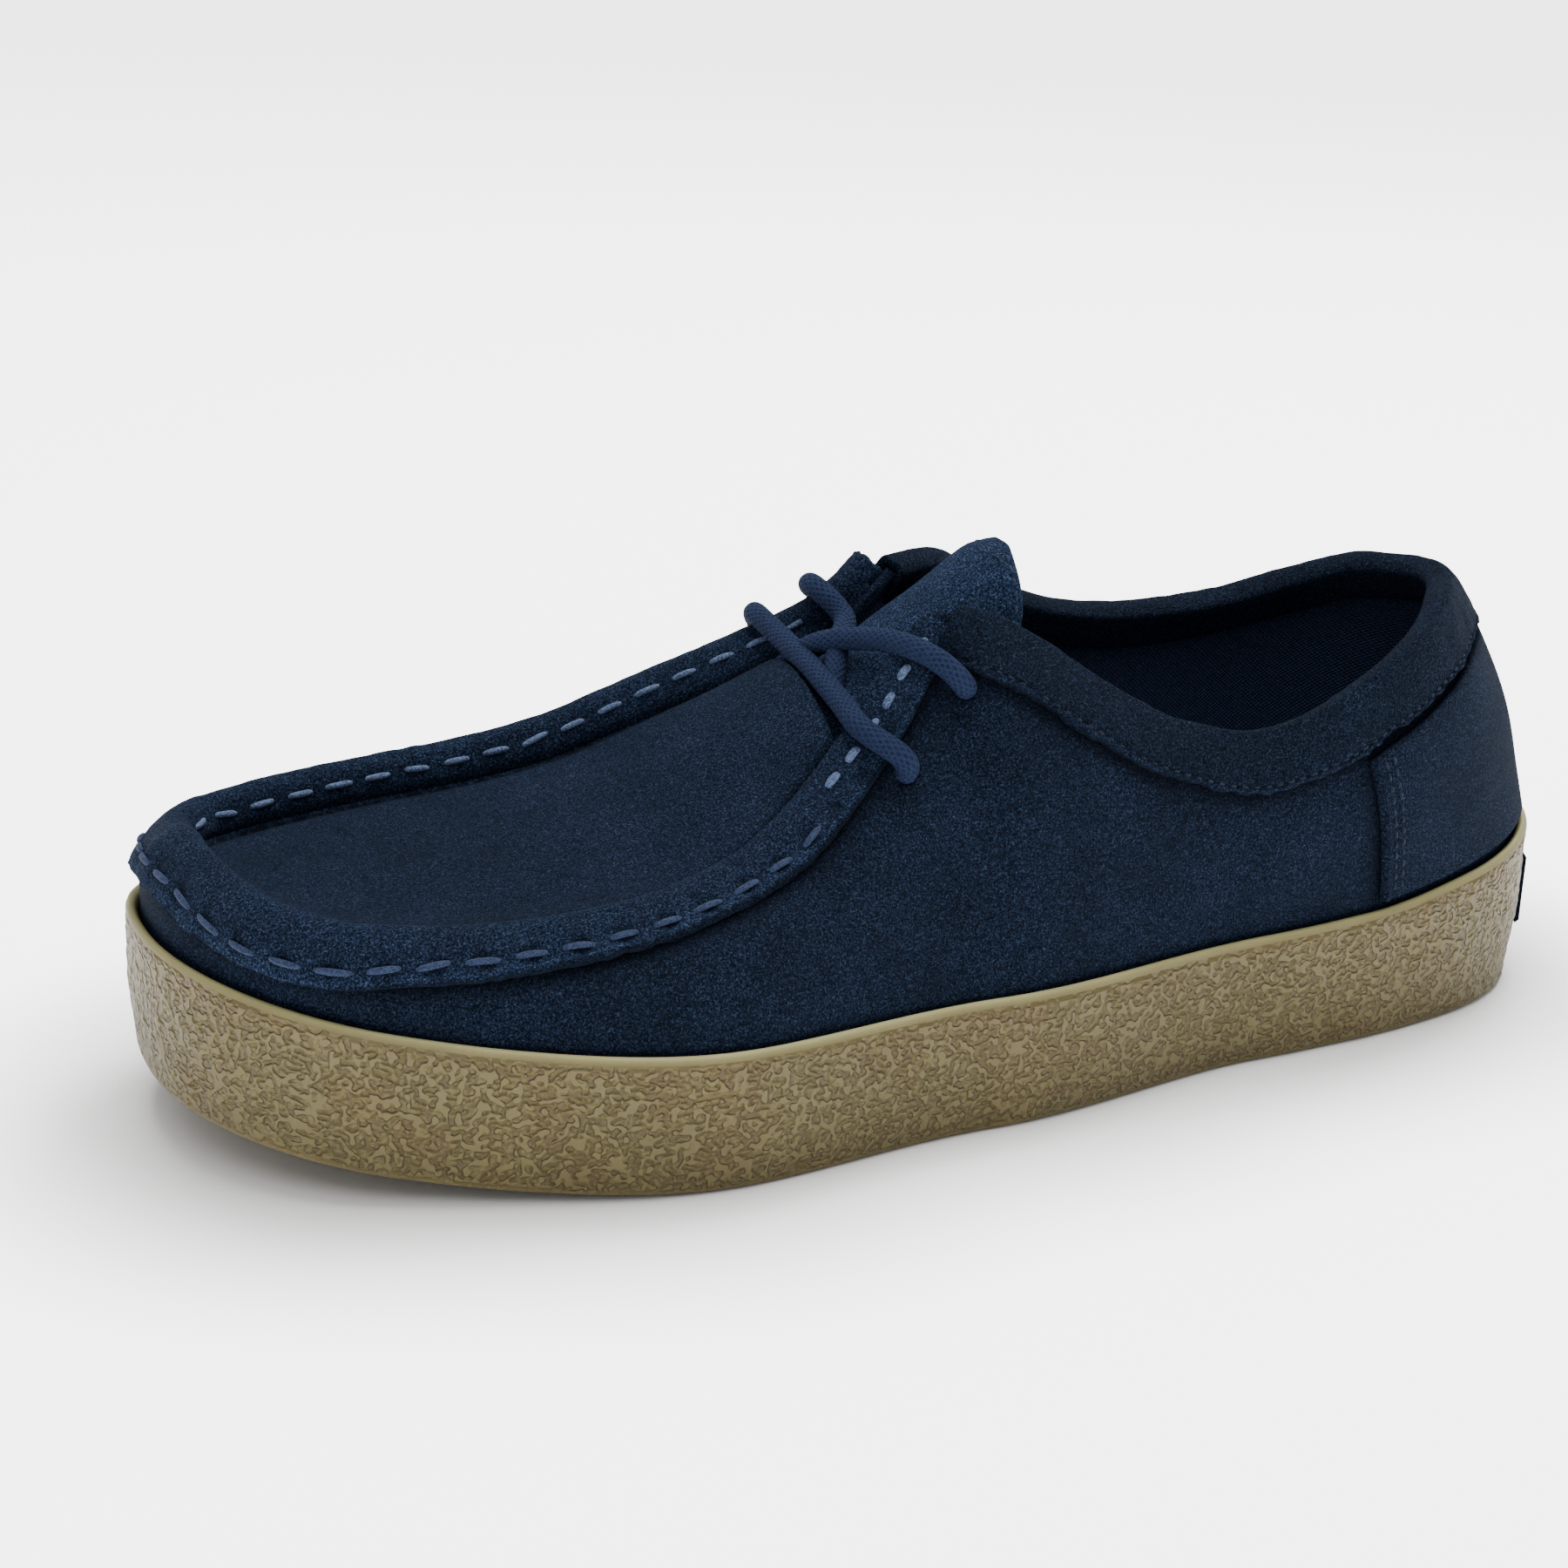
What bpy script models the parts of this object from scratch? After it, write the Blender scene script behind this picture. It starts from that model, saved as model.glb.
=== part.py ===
# A left low shoe in metres, +Z up: suede moccasin-toe upper on a rubber cupsole.
# The toe points to -X and the outer side to -Y. The origin is on the floor under the middle.

import math

import bmesh
import bpy
import numpy as np
from mathutils import Vector

MM = 0.001
COLLECTION = "moccasin_shoe"
CUTTERS = "moccasin_shoe_cutters"

# Overall sizes of the sole
LENGTH = 298 * MM
BALL_WIDTH = 111.5 * MM
WAIST_WIDTH = 94.5 * MM
HEEL_WIDTH = 77 * MM
TOE_CAP_LENGTH = 54 * MM
HEEL_CAP_LENGTH = 60 * MM
TOE_SPRING = 12.4 * MM
SPRING_LENGTH = 101 * MM
SIDE_HEIGHT = 27.3 * MM
TOE_SIDE_RISE = 1.5 * MM
HEEL_SIDE_RISE = 10.3 * MM
CENTRE_BEND = 4.5 * MM
CENTRE_SHIFT = 1.45 * MM

# Walls and layers of the sole
LIP_THICKNESS = 2.4 * MM
LIP_ROUND = 1.2 * MM
CUP_WALL = 4.2 * MM
CUP_LEAN = 2.0 * MM
CUP_FOOT_ROUND = 1.6 * MM
FLOOR_FORE = 11 * MM
FLOOR_HEEL = 20 * MM
RIM_WIDTH = 3.0 * MM
RECESS_DEPTH = 4.5 * MM
PLATE_THICKNESS = 1.6 * MM
INSOLE_THICKNESS = 3.5 * MM

# Tread
BORDER_WIDTH = 9.5 * MM
BORDER_LIFT = 0.4 * MM
LUG_PITCH = 33 * MM
LUG_ACROSS = 28 * MM
LUG_RIDGE = 5 * MM
LUG_CORNER = 6 * MM
LUG_DRAFT = 0.6 * MM
LUG_HEIGHT = RECESS_DEPTH - 0.6 * PLATE_THICKNESS
BOSS_RADIUS = 6.5 * MM
TOE_BAR_PITCH = 9 * MM
TOE_BAR_WIDTH = 5 * MM
TOE_BAR_COUNT = 4
TOE_BAR_START = 24 * MM

# Upper
APRON_START = 3
INSTEP_RISE = 64 * MM
HEEL_RISE = 57 * MM
UPPER_WALL = 2.0 * MM
WALL_SWELL = 8 * MM
APRON_CROWN = 7 * MM
THROAT_RAY = 0.42
STRIP_TOP_RAY = 0.50
COLLAR_START_RAY = 0.525
BAND_START_RAY = 0.532
PANEL_RAY = 0.814
EYELET_BORE = 4.8 * MM
EYELET_RAYS = (0.427, 0.477)
EYELET_DEPTHS = (14.5 * MM, 15.5 * MM)

# Overlays on the upper
OVERLAY_GAP = 0.45 * MM
SEAM_GAP = 0.7 * MM
RIDGE_WIDTH = 12 * MM
RIDGE_HEIGHT = 4.2 * MM
STRIP_THICKNESS = 2.0 * MM
BAND_WIDTH = 10.5 * MM
BAND_GAP = 0.6 * MM
BAND_THICKNESS = 1.8 * MM
BAND_INSIDE = 7 * MM
PANEL_THICKNESS = 1.2 * MM
PANEL_ROWS = 6
PATCH_THICKNESS = 0.8 * MM
PATCH_WIDTH = 30 * MM
PATCH_HEIGHT = 16 * MM

# Tongue
TONGUE_THICKNESS = 3.6 * MM
TONGUE_HALF_WIDTH = 18.5 * MM
TONGUE_TIP_ROUND = 13 * MM
TONGUE_SKEW = 2.5 * MM

# Lace
LACE_DIAMETER = 4.3 * MM
LACE_STEPS = (22, 13, 17)

# Clearances
GAP = 0.3 * MM

# Centre line and half width of the sole along its length, each row one ray from toe to heel.
# Columns: ray (share of LENGTH), bend (share of CENTRE_BEND), toe to ball to waist to heel shares.
SOLE_TABLE = (
    # ray, bend, ball, waist, heel
    (0.00, 1.05, 0.80, 0.00, 0.00),
    (0.12, 0.70, 0.87, 0.00, 0.00),
    (0.30, -0.33, 1.00, 0.00, 0.00),
    (0.50, -0.82, 0.00, 1.00, 0.00),
    (0.72, -0.38, 0.00, 0.00, 1.013),
    (0.88, 0.18, 0.00, 0.00, 0.995),
    (1.00, -0.04, 0.00, 0.00, 1.013),
)

# Rise of the side wall's top over SIDE_HEIGHT: shares of TOE_SIDE_RISE and HEEL_SIDE_RISE.
LIP_TABLE = (
    # ray, toe, heel
    (0.00, 1.00, 0.00),
    (0.35, 0.00, 0.00),
    (0.68, 0.00, 0.00),
    (0.80, 0.00, 0.10),
    (0.90, 0.00, 0.45),
    (1.00, 0.00, 1.00),
)

# Floor of the cup between FLOOR_FORE and FLOOR_HEEL.
FLOOR_TABLE = (
    # ray, heel share
    (0.00, 0.00),
    (0.40, 0.05),
    (0.75, 0.95),
    (1.00, 1.00),
)

# Inner edge of the seam, then the collar: shares of LENGTH, of the local half width, of the rise.
# The swell is the wall's bulge between sole and edge, a share of WALL_SWELL.
LATERAL_EDGE = (
    # ray, along, across, rise, swell
    (0.000, 0.0455, 0.000, 0.205, 0.75),
    (0.030, 0.054, 0.320, 0.210, 0.70),
    (0.060, 0.071, 0.555, 0.206, 0.62),
    (0.100, 0.107, 0.675, 0.200, 0.60),
    (0.150, 0.154, 0.680, 0.212, 0.66),
    (0.200, 0.205, 0.652, 0.240, 0.74),
    (0.250, 0.252, 0.607, 0.275, 0.82),
    (0.300, 0.299, 0.546, 0.310, 0.90),
    (0.350, 0.349, 0.480, 0.386, 0.95),
    (0.390, 0.389, 0.407, 0.503, 0.88),
    (0.420, 0.423, 0.336, 0.652, 0.75),
    (0.450, 0.451, 0.262, 0.784, 0.68),
    (0.475, 0.473, 0.194, 0.894, 0.62),
    (0.500, 0.498, 0.155, 0.990, 0.60),
    (0.525, 0.521, 0.270, 1.035, 0.58),
    (0.560, 0.552, 0.378, 0.975, 0.55),
    (0.620, 0.600, 0.542, 0.838, 0.50),
    (0.680, 0.651, 0.697, 0.724, 0.48),
    (0.740, 0.705, 0.797, 0.678, 0.48),
    (0.790, 0.758, 0.839, 0.738, 0.50),
    (0.840, 0.805, 0.815, 0.839, 0.52),
    (0.890, 0.849, 0.700, 0.922, 0.46),
    (0.940, 0.888, 0.453, 0.985, 0.40),
    (1.000, 0.921, 0.000, 1.000, 0.38),
)
MEDIAL_EDGE = (
    # ray, along, across, rise, swell
    (0.000, 0.0455, 0.000, 0.205, 0.75),
    (0.030, 0.050, 0.230, 0.195, 0.72),
    (0.060, 0.069, 0.400, 0.200, 0.68),
    (0.100, 0.111, 0.502, 0.243, 0.70),
    (0.150, 0.158, 0.552, 0.293, 0.78),
    (0.200, 0.208, 0.581, 0.336, 0.85),
    (0.250, 0.258, 0.581, 0.383, 0.90),
    (0.300, 0.309, 0.581, 0.446, 0.92),
    (0.350, 0.359, 0.558, 0.548, 0.88),
    (0.390, 0.396, 0.502, 0.642, 0.80),
    (0.420, 0.430, 0.445, 0.727, 0.72),
    (0.450, 0.463, 0.402, 0.805, 0.68),
    (0.475, 0.483, 0.378, 0.880, 0.62),
    (0.500, 0.502, 0.384, 0.975, 0.60),
    (0.525, 0.521, 0.440, 1.060, 0.58),
    (0.560, 0.552, 0.530, 1.065, 0.55),
    (0.620, 0.607, 0.640, 0.941, 0.50),
    (0.680, 0.668, 0.719, 0.857, 0.48),
    (0.740, 0.722, 0.758, 0.833, 0.48),
    (0.790, 0.768, 0.754, 0.841, 0.50),
    (0.840, 0.815, 0.708, 0.874, 0.52),
    (0.890, 0.859, 0.606, 0.925, 0.46),
    (0.940, 0.896, 0.400, 0.985, 0.40),
    (1.000, 0.921, 0.000, 1.000, 0.38),
)

# Crown of the apron between its two edges.
APRON_TABLE = (
    # ray, crown
    (0.00, 0.00),
    (0.10, 0.10),
    (0.20, 0.20),
    (0.30, 0.40),
    (0.38, 0.85),
    (0.42, 1.00),
)

# Section of the seam ridge from the outer edge of its flange to the groove, per side.
# Columns: depth below the groove (share of RIDGE_WIDTH), height (share of RIDGE_HEIGHT).
RIDGE_SECTION = (
    (1.00, 0.31),
    (0.80, 0.40),
    (0.62, 0.72),
    (0.42, 1.00),
    (0.24, 0.95),
    (0.10, 0.62),
    (0.04, 0.20),
)

# Seam ridge: heights on each side (shares of RIDGE_HEIGHT), flatness of the lateral side, and width.
RIDGE_TABLE = (
    # ray, lateral, medial, flat, width
    (0.00, 1.30, 1.30, 0.00, 1.00),
    (0.06, 1.05, 1.50, 0.00, 1.00),
    (0.15, 0.95, 1.55, 0.00, 1.00),
    (0.30, 0.95, 1.75, 0.00, 1.00),
    (0.38, 0.90, 2.05, 0.10, 0.97),
    (0.44, 0.85, 2.15, 1.00, 0.86),
    (0.50, 0.80, 1.65, 1.00, 0.78),
)

# Centre line of the tongue's top face: shares of LENGTH and INSTEP_RISE, arc radius, half width.
TONGUE_TABLE = (
    # ray, along, rise, radius, half
    (0.00, 0.335, 0.430, 1.80, 0.95),
    (0.20, 0.380, 0.565, 1.70, 1.00),
    (0.42, 0.430, 0.720, 1.50, 1.02),
    (0.64, 0.473, 0.860, 1.25, 1.00),
    (0.84, 0.522, 1.025, 0.88, 1.02),
    (1.00, 0.570, 1.185, 0.80, 1.04),
)

# Lace from an eyelet over the seam to the throat: shares of the eyelet's depth and of the lace's
# height over the wall at the seam.
LATERAL_OVER = (
    # reach, lift
    (1.00, 0.12),
    (1.02, 0.50),
    (0.92, 0.88),
    (0.74, 1.02),
    (0.40, 1.00),
    (0.05, 1.00),
)
MEDIAL_OVER = (
    # reach, lift
    (1.00, 0.05),
    (1.06, 0.30),
    (0.95, 0.56),
    (0.72, 0.80),
    (0.46, 0.97),
    (0.18, 0.98),
    (-0.08, 0.80),
)

# Lace over the tongue. Columns: along, across (share of TONGUE_HALF_WIDTH), lift (in lace diameters).
BAR_OVER = (
    (0.50, 0.35, 1.50),
    (0.47, -0.10, 1.50),
    (0.45, -0.60, 1.45),
)
CROSSING_OVER = (
    (0.52, 0.60, 0.72),
    (0.56, 0.42, 0.95),
    (0.60, 0.15, 1.35),
    (0.65, -0.25, 1.35),
)
RETURN_OVER = (
    (0.67, 0.50, 0.75),
    (0.60, 0.10, 0.60),
    (0.53, -0.25, 0.60),
    (0.46, -0.50, 0.62),
)

# Colour, roughness and metallic value of each material.
FINISHES = {
    "suede": ((0.012, 0.028, 0.075), 0.95, 0.0),
    "suede_dark": ((0.010, 0.022, 0.060), 0.95, 0.0),
    "crepe": ((0.62, 0.46, 0.25), 0.70, 0.0),
    "gum": ((0.40, 0.24, 0.10), 0.60, 0.0),
    "fabric": ((0.008, 0.014, 0.035), 0.90, 0.0),
    "braid": ((0.020, 0.045, 0.12), 0.85, 0.0),
}


def clear_scene():
    """Remove every object that is already in the scene."""
    for item in list(bpy.data.objects):
        bpy.data.objects.remove(item, do_unlink=True)


def make_collection(name):
    """New collection linked to the scene."""
    group = bpy.data.collections.new(name)
    bpy.context.scene.collection.children.link(group)
    return group


def make_material(name, finish):
    """Principled material for one object."""
    colour, roughness, metallic = FINISHES[finish]
    material = bpy.data.materials.new(name + "_" + finish)
    material.use_nodes = True
    shader = material.node_tree.nodes["Principled BSDF"]
    shader.inputs["Base Color"].default_value = (*colour, 1.0)
    shader.inputs["Roughness"].default_value = roughness
    shader.inputs["Metallic"].default_value = metallic
    return material


def make_object(name, mesh, finish, group):
    """Object from a finished mesh, smooth shaded, with its own material."""
    item = bpy.data.objects.new(name, mesh)
    group.objects.link(item)
    mesh.materials.append(make_material(name, finish))
    mesh.shade_smooth()
    mesh.set_sharp_from_angle(angle=math.radians(40))
    return item


def mesh_from_grids(name, grids, outline=None):
    """Join quad grids of points (rows, columns, 3), and one face with an outline, into a mesh."""
    build = bmesh.new()
    if outline is not None:
        build.faces.new([build.verts.new(point) for point in outline])
    for grid in grids:
        rows, columns = grid.shape[:2]
        verts = [[build.verts.new(point) for point in row] for row in grid]
        for i in range(rows - 1):
            for j in range(columns - 1):
                build.faces.new((verts[i][j], verts[i][j + 1], verts[i + 1][j + 1], verts[i + 1][j]))
    bmesh.ops.remove_doubles(build, verts=build.verts, dist=0.00002)
    bmesh.ops.dissolve_degenerate(build, dist=0.00001, edges=build.edges)
    mesh = bpy.data.meshes.new(name)
    build.to_mesh(mesh)
    build.free()
    return mesh


def close_mesh(mesh):
    """Turn all faces of a closed mesh outwards."""
    build = bmesh.new()
    build.from_mesh(mesh)
    bmesh.ops.recalc_face_normals(build, faces=build.faces)
    build.to_mesh(mesh)
    build.free()
    return mesh


def add_boolean(item, cutter, operation):
    """Exact Boolean on an object."""
    modifier = item.modifiers.new(operation.lower(), "BOOLEAN")
    modifier.operation = operation
    modifier.solver = "EXACT"
    modifier.object = cutter
    return modifier


def hide_cutter(item):
    """Leave a cutter out of the finished model."""
    item.hide_render = True
    item.display_type = "WIRE"


def turn_of(ray):
    """Place round the outline, 0 at the toe and 1 at the heel, for a share of the length."""
    return np.arccos(1 - 2 * np.asarray(ray, float)) / np.pi


def ray_of(turn):
    """Share of the length for a place round the outline."""
    return (1 - np.cos(np.pi * np.asarray(turn, float))) / 2


def follow(table, column, ray, flat=True):
    """One column of a table at the given rays, along a monotone cubic curve."""
    key = turn_of([row[0] for row in table])
    value = np.array([row[column] for row in table])
    step = np.diff(key)
    rise = np.diff(value) / step
    slope = np.zeros(len(key))
    early, late = 2 * step[1:] + step[:-1], step[1:] + 2 * step[:-1]
    same = rise[:-1] * rise[1:] > 0
    safe = np.where(same, rise[:-1], 1.0), np.where(same, rise[1:], 1.0)
    slope[1:-1] = np.where(same, (early + late) / (early / safe[0] + late / safe[1]), 0.0)
    if not flat:
        slope[0], slope[-1] = rise[0], rise[-1]
    at = turn_of(np.clip(ray, table[0][0], table[-1][0]))
    k = np.clip(np.searchsorted(key, at, side="right") - 1, 0, len(step) - 1)
    u = (at - key[k]) / step[k]
    return (
        value[k] * (1 + 2 * u) * (1 - u) ** 2
        + value[k + 1] * u ** 2 * (3 - 2 * u)
        + step[k] * (slope[k] * u * (1 - u) ** 2 + slope[k + 1] * u ** 2 * (u - 1))
    )


def cap_share(share, power):
    """Superellipse that closes the outline at one end."""
    return (1 - (1 - np.clip(share, 0, 1)) ** power) ** (1 / power)


def centre_line(ray):
    """Sideways place of the sole's centre line."""
    return CENTRE_SHIFT + CENTRE_BEND * follow(SOLE_TABLE, 1, ray)


def half_width(ray):
    """Half width of the sole before its ends are rounded."""
    ball = BALL_WIDTH * follow(SOLE_TABLE, 2, ray)
    waist = WAIST_WIDTH * follow(SOLE_TABLE, 3, ray)
    heel = HEEL_WIDTH * follow(SOLE_TABLE, 4, ray)
    return (ball + waist + heel) / 2


def sole_edge(turn):
    """Outline of the sole in plan at a signed place round it, negative on the lateral side."""
    turn = (np.asarray(turn, float) + 1) % 2 - 1
    ray = ray_of(turn)
    toe = cap_share(ray * LENGTH / TOE_CAP_LENGTH, 2.3)
    heel = cap_share((1 - ray) * LENGTH / HEEL_CAP_LENGTH, 2.2)
    across = half_width(ray) * toe * heel
    return np.stack([(ray - 0.5) * LENGTH, centre_line(ray) + np.sign(turn) * across], -1)


def edge_normal(turn):
    """Outward direction of the outline in plan."""
    small = 0.006
    along = sole_edge(turn + small) - sole_edge(turn - small)
    normal = np.stack([-along[..., 1], along[..., 0]], -1)
    return normal / np.linalg.norm(normal, axis=-1, keepdims=True)


def spring(x):
    """Height of the sole's underside over the floor: the toe spring."""
    start = SPRING_LENGTH - LENGTH / 2
    return TOE_SPRING * np.clip((start - x) / SPRING_LENGTH, 0, None) ** 2


def ring(turn, inset, above):
    """Points round the sole, moved in by an inset and set above its underside."""
    plan = sole_edge(turn) - edge_normal(turn) * np.asarray(inset)[..., None]
    height = spring(plan[..., 0]) + above
    return np.concatenate([plan, height[..., None]], -1)


def lip_above(ray):
    """Height of the side wall's top edge over the sole's underside."""
    toe, heel = follow(LIP_TABLE, 1, ray), follow(LIP_TABLE, 2, ray)
    return SIDE_HEIGHT + TOE_SIDE_RISE * toe + HEEL_SIDE_RISE * heel


def floor_above(ray):
    """Height of the cup's inner floor over the sole's underside."""
    return FLOOR_FORE + (FLOOR_HEEL - FLOOR_FORE) * follow(FLOOR_TABLE, 1, ray)


def make_rays():
    """Rays from toe to heel that every piece of the shoe shares."""
    toe_end, heel_start = 0.12, 0.88
    toe = ray_of(np.linspace(0, turn_of(toe_end), 8))
    fore = np.linspace(toe_end, THROAT_RAY, 10)
    throat = np.linspace(THROAT_RAY, STRIP_TOP_RAY, 5)
    corner = (STRIP_TOP_RAY + COLLAR_START_RAY) / 2
    quarter = BAND_START_RAY + (PANEL_RAY - BAND_START_RAY) * np.linspace(0, 1, 12) ** 1.4
    rear = np.concatenate([[corner, COLLAR_START_RAY], quarter, [0.85]])
    heel = ray_of(np.linspace(turn_of(heel_start), 1, 7))
    return np.concatenate([toe, fore[1:], throat[1:], rear, heel])


RAYS = make_rays()
TURNS = turn_of(RAYS)
ROUND = np.concatenate([-TURNS[::-1], TURNS[1:]])


def ladder(points, columns):
    """Grid that fills a ring of points: a rung for each ray from one side to the other."""
    half = len(RAYS)
    lateral, medial = points[:half][::-1], points[half - 1:]
    share = np.linspace(0, 1, columns + 1)[None, :, None]
    return lateral[:, None, :] * (1 - share) + medial[:, None, :] * share


def ring_solid(name, rings, columns=2):
    """Closed solid from rings that run from its lower face, up its side, to its upper face."""
    side = np.stack(rings, 1)
    mesh = mesh_from_grids(name, [side, ladder(rings[0], columns), ladder(rings[-1], columns)])
    return close_mesh(mesh)


def build_cupsole(group):
    """Cup of the sole: side wall with a rounded lip, floor, and the tread's recess below."""
    ray = ray_of(ROUND)
    lip = lip_above(ray)
    wide = lip - LIP_ROUND * 2
    rings = [
        ring(ROUND, CUP_LEAN + RIM_WIDTH + GAP, RECESS_DEPTH),
        ring(ROUND, CUP_LEAN + RIM_WIDTH, 0),
        ring(ROUND, CUP_LEAN + CUP_FOOT_ROUND * 0.7, 0),
        ring(ROUND, CUP_LEAN * 0.7, CUP_FOOT_ROUND),
        ring(ROUND, 0, wide * 0.55),
        ring(ROUND, 0, wide),
        ring(ROUND, LIP_ROUND * 0.5, lip - LIP_ROUND * 0.4),
        ring(ROUND, LIP_THICKNESS * 0.6, lip),
        ring(ROUND, LIP_THICKNESS, lip - LIP_ROUND * 0.4),
        ring(ROUND, CUP_WALL, floor_above(ray)),
    ]
    return make_object("cupsole", ring_solid("cupsole", rings), "crepe", group)


def lug_ring(build, centre, across, ridge, corner):
    """Rounded-square ring lug, turned by 45 degrees."""
    def loop(half, cut, z):
        corners = [(half, -cut), (half, cut), (cut, half), (-cut, half)]
        corners += [(-half, cut), (-half, -cut), (-cut, -half), (cut, -half)]
        c = math.sqrt(0.5)
        return [build.verts.new((centre[0] + c * (x - y), centre[1] + c * (x + y), z)) for x, y in corners]
    half = across / 2
    hollow = half - ridge
    outer_low = loop(half, half - corner, 0)
    outer_high = loop(half + LUG_DRAFT, half + LUG_DRAFT - corner, LUG_HEIGHT)
    inner_low = loop(hollow, hollow - corner * 0.45, 0)
    inner_high = loop(hollow - LUG_DRAFT, hollow - LUG_DRAFT - corner * 0.45, LUG_HEIGHT)
    for a, b in ((outer_low, outer_high), (outer_high, inner_high), (inner_high, inner_low), (inner_low, outer_low)):
        for i in range(8):
            j = (i + 1) % 8
            build.faces.new((a[i], a[j], b[j], b[i]))


def drape(build):
    """Lift points by the toe spring, so that they follow the underside."""
    for vert in build.verts:
        vert.co.z += float(spring(vert.co.x))


def lug_centres():
    """Centres of the diamond lugs that lie within the border."""
    step = LUG_PITCH / math.sqrt(2)
    first = -LENGTH / 2 + TOE_BAR_START + TOE_BAR_PITCH * TOE_BAR_COUNT + LUG_ACROSS * 0.62
    rows = int((LENGTH / 2 - first) / step)
    centres = []
    for i in range(rows + 1):
        x = first + i * step
        ray = x / LENGTH + 0.5
        room = float(half_width(ray)) - CUP_LEAN - RIM_WIDTH - BORDER_WIDTH
        if x > LENGTH / 2 - HEEL_CAP_LENGTH * 0.52:
            continue
        for j in (-1, 0, 1):
            if (i + j) % 2 == 0 and abs(j) * step < room - LUG_ACROSS * 0.22:
                centres.append((x, float(centre_line(ray)) + j * step))
    return centres


def build_outsole(group, cutters):
    """Tread plate in the cup's recess: border band, toe bars, and diamond lugs with bosses."""
    outer = CUP_LEAN + RIM_WIDTH + GAP * 2
    inner = outer + BORDER_WIDTH
    rings = [
        ring(ROUND, inner + GAP, RECESS_DEPTH - PLATE_THICKNESS),
        ring(ROUND, inner, BORDER_LIFT),
        ring(ROUND, outer, BORDER_LIFT),
        ring(ROUND, outer, RECESS_DEPTH - GAP),
    ]
    item = make_object("outsole", ring_solid("outsole", rings), "gum", group)
    centres = lug_centres()
    build = bmesh.new()
    for centre in centres:
        lug_ring(build, centre, LUG_ACROSS, LUG_RIDGE, LUG_CORNER)
    bmesh.ops.recalc_face_normals(build, faces=build.faces)
    join_lugs(item, "lug_rings", build, cutters)
    build = bmesh.new()
    for centre in centres:
        boss = bmesh.ops.create_cone(
            build, cap_ends=True, segments=8, radius1=BOSS_RADIUS, radius2=BOSS_RADIUS, depth=LUG_HEIGHT)
        bmesh.ops.translate(build, verts=boss["verts"], vec=(centre[0], centre[1], LUG_HEIGHT / 2))
    for i in range(TOE_BAR_COUNT):
        toe_bar(build, -LENGTH / 2 + TOE_BAR_START + TOE_BAR_PITCH * (i + 0.5), inner)
    join_lugs(item, "lug_bosses", build, cutters)
    return item


def toe_bar(build, x, inset):
    """Straight bar across the toe, as long as the border leaves room for."""
    front = (x - TOE_BAR_WIDTH / 2) / LENGTH + 0.5
    cap = float(cap_share((front * LENGTH - inset * 0.8) / TOE_CAP_LENGTH, 2.3))
    half = float(half_width(front)) * cap - inset * 0.75
    bar = bmesh.ops.create_cube(build, size=1)
    bmesh.ops.scale(build, verts=bar["verts"], vec=(TOE_BAR_WIDTH, half * 2, LUG_HEIGHT))
    bmesh.ops.translate(build, verts=bar["verts"], vec=(x, float(centre_line(front)), LUG_HEIGHT / 2))


def join_lugs(item, name, build, cutters):
    """Join draped lugs to the tread plate."""
    drape(build)
    mesh = bpy.data.meshes.new(name)
    build.to_mesh(mesh)
    build.free()
    lugs = bpy.data.objects.new(name, mesh)
    cutters.objects.link(lugs)
    hide_cutter(lugs)
    add_boolean(item, lugs, "UNION")


def build_insole(group):
    """Sock on the cup's floor, inside the upper's lower edge."""
    ray = ray_of(ROUND)
    inset = CUP_WALL + GAP + UPPER_WALL * 1.25 + GAP
    low = floor_above(ray) + GAP
    rings = [
        ring(ROUND, inset, low),
        ring(ROUND, inset + INSOLE_THICKNESS * 0.3, low + INSOLE_THICKNESS),
    ]
    return make_object("insole", ring_solid("insole", rings), "fabric", group)


def edge_column(turn, column, flat=True):
    """One column of the edge tables at a signed place, from the table of its own side."""
    ray = ray_of(turn)
    lateral = follow(LATERAL_EDGE, column, ray, flat)
    return np.where(np.asarray(turn) < 0, lateral, follow(MEDIAL_EDGE, column, ray, flat))


def top_edge(turn):
    """Upper edge of the wall: the seam's groove, the throat's edge, then the collar."""
    turn = (np.asarray(turn, float) + 1) % 2 - 1
    ray = ray_of(turn)
    x = (edge_column(turn, 1) - 0.5) * LENGTH
    y = centre_line(ray) + np.sign(turn) * half_width(ray) * edge_column(turn, 2, flat=False)
    blend = np.clip((ray - 0.5) / 0.5, 0, 1)
    blend = blend * blend * (3 - 2 * blend)
    rise = edge_column(turn, 3) * (INSTEP_RISE * (1 - blend) + HEEL_RISE * blend)
    capped = np.clip((ray - STRIP_TOP_RAY) / (COLLAR_START_RAY - STRIP_TOP_RAY), 0, 1)
    cap = (BAND_GAP + BAND_THICKNESS) * capped
    return np.stack([x, y, spring(x) + lip_above(x / LENGTH + 0.5) + rise - cap], -1)


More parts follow.
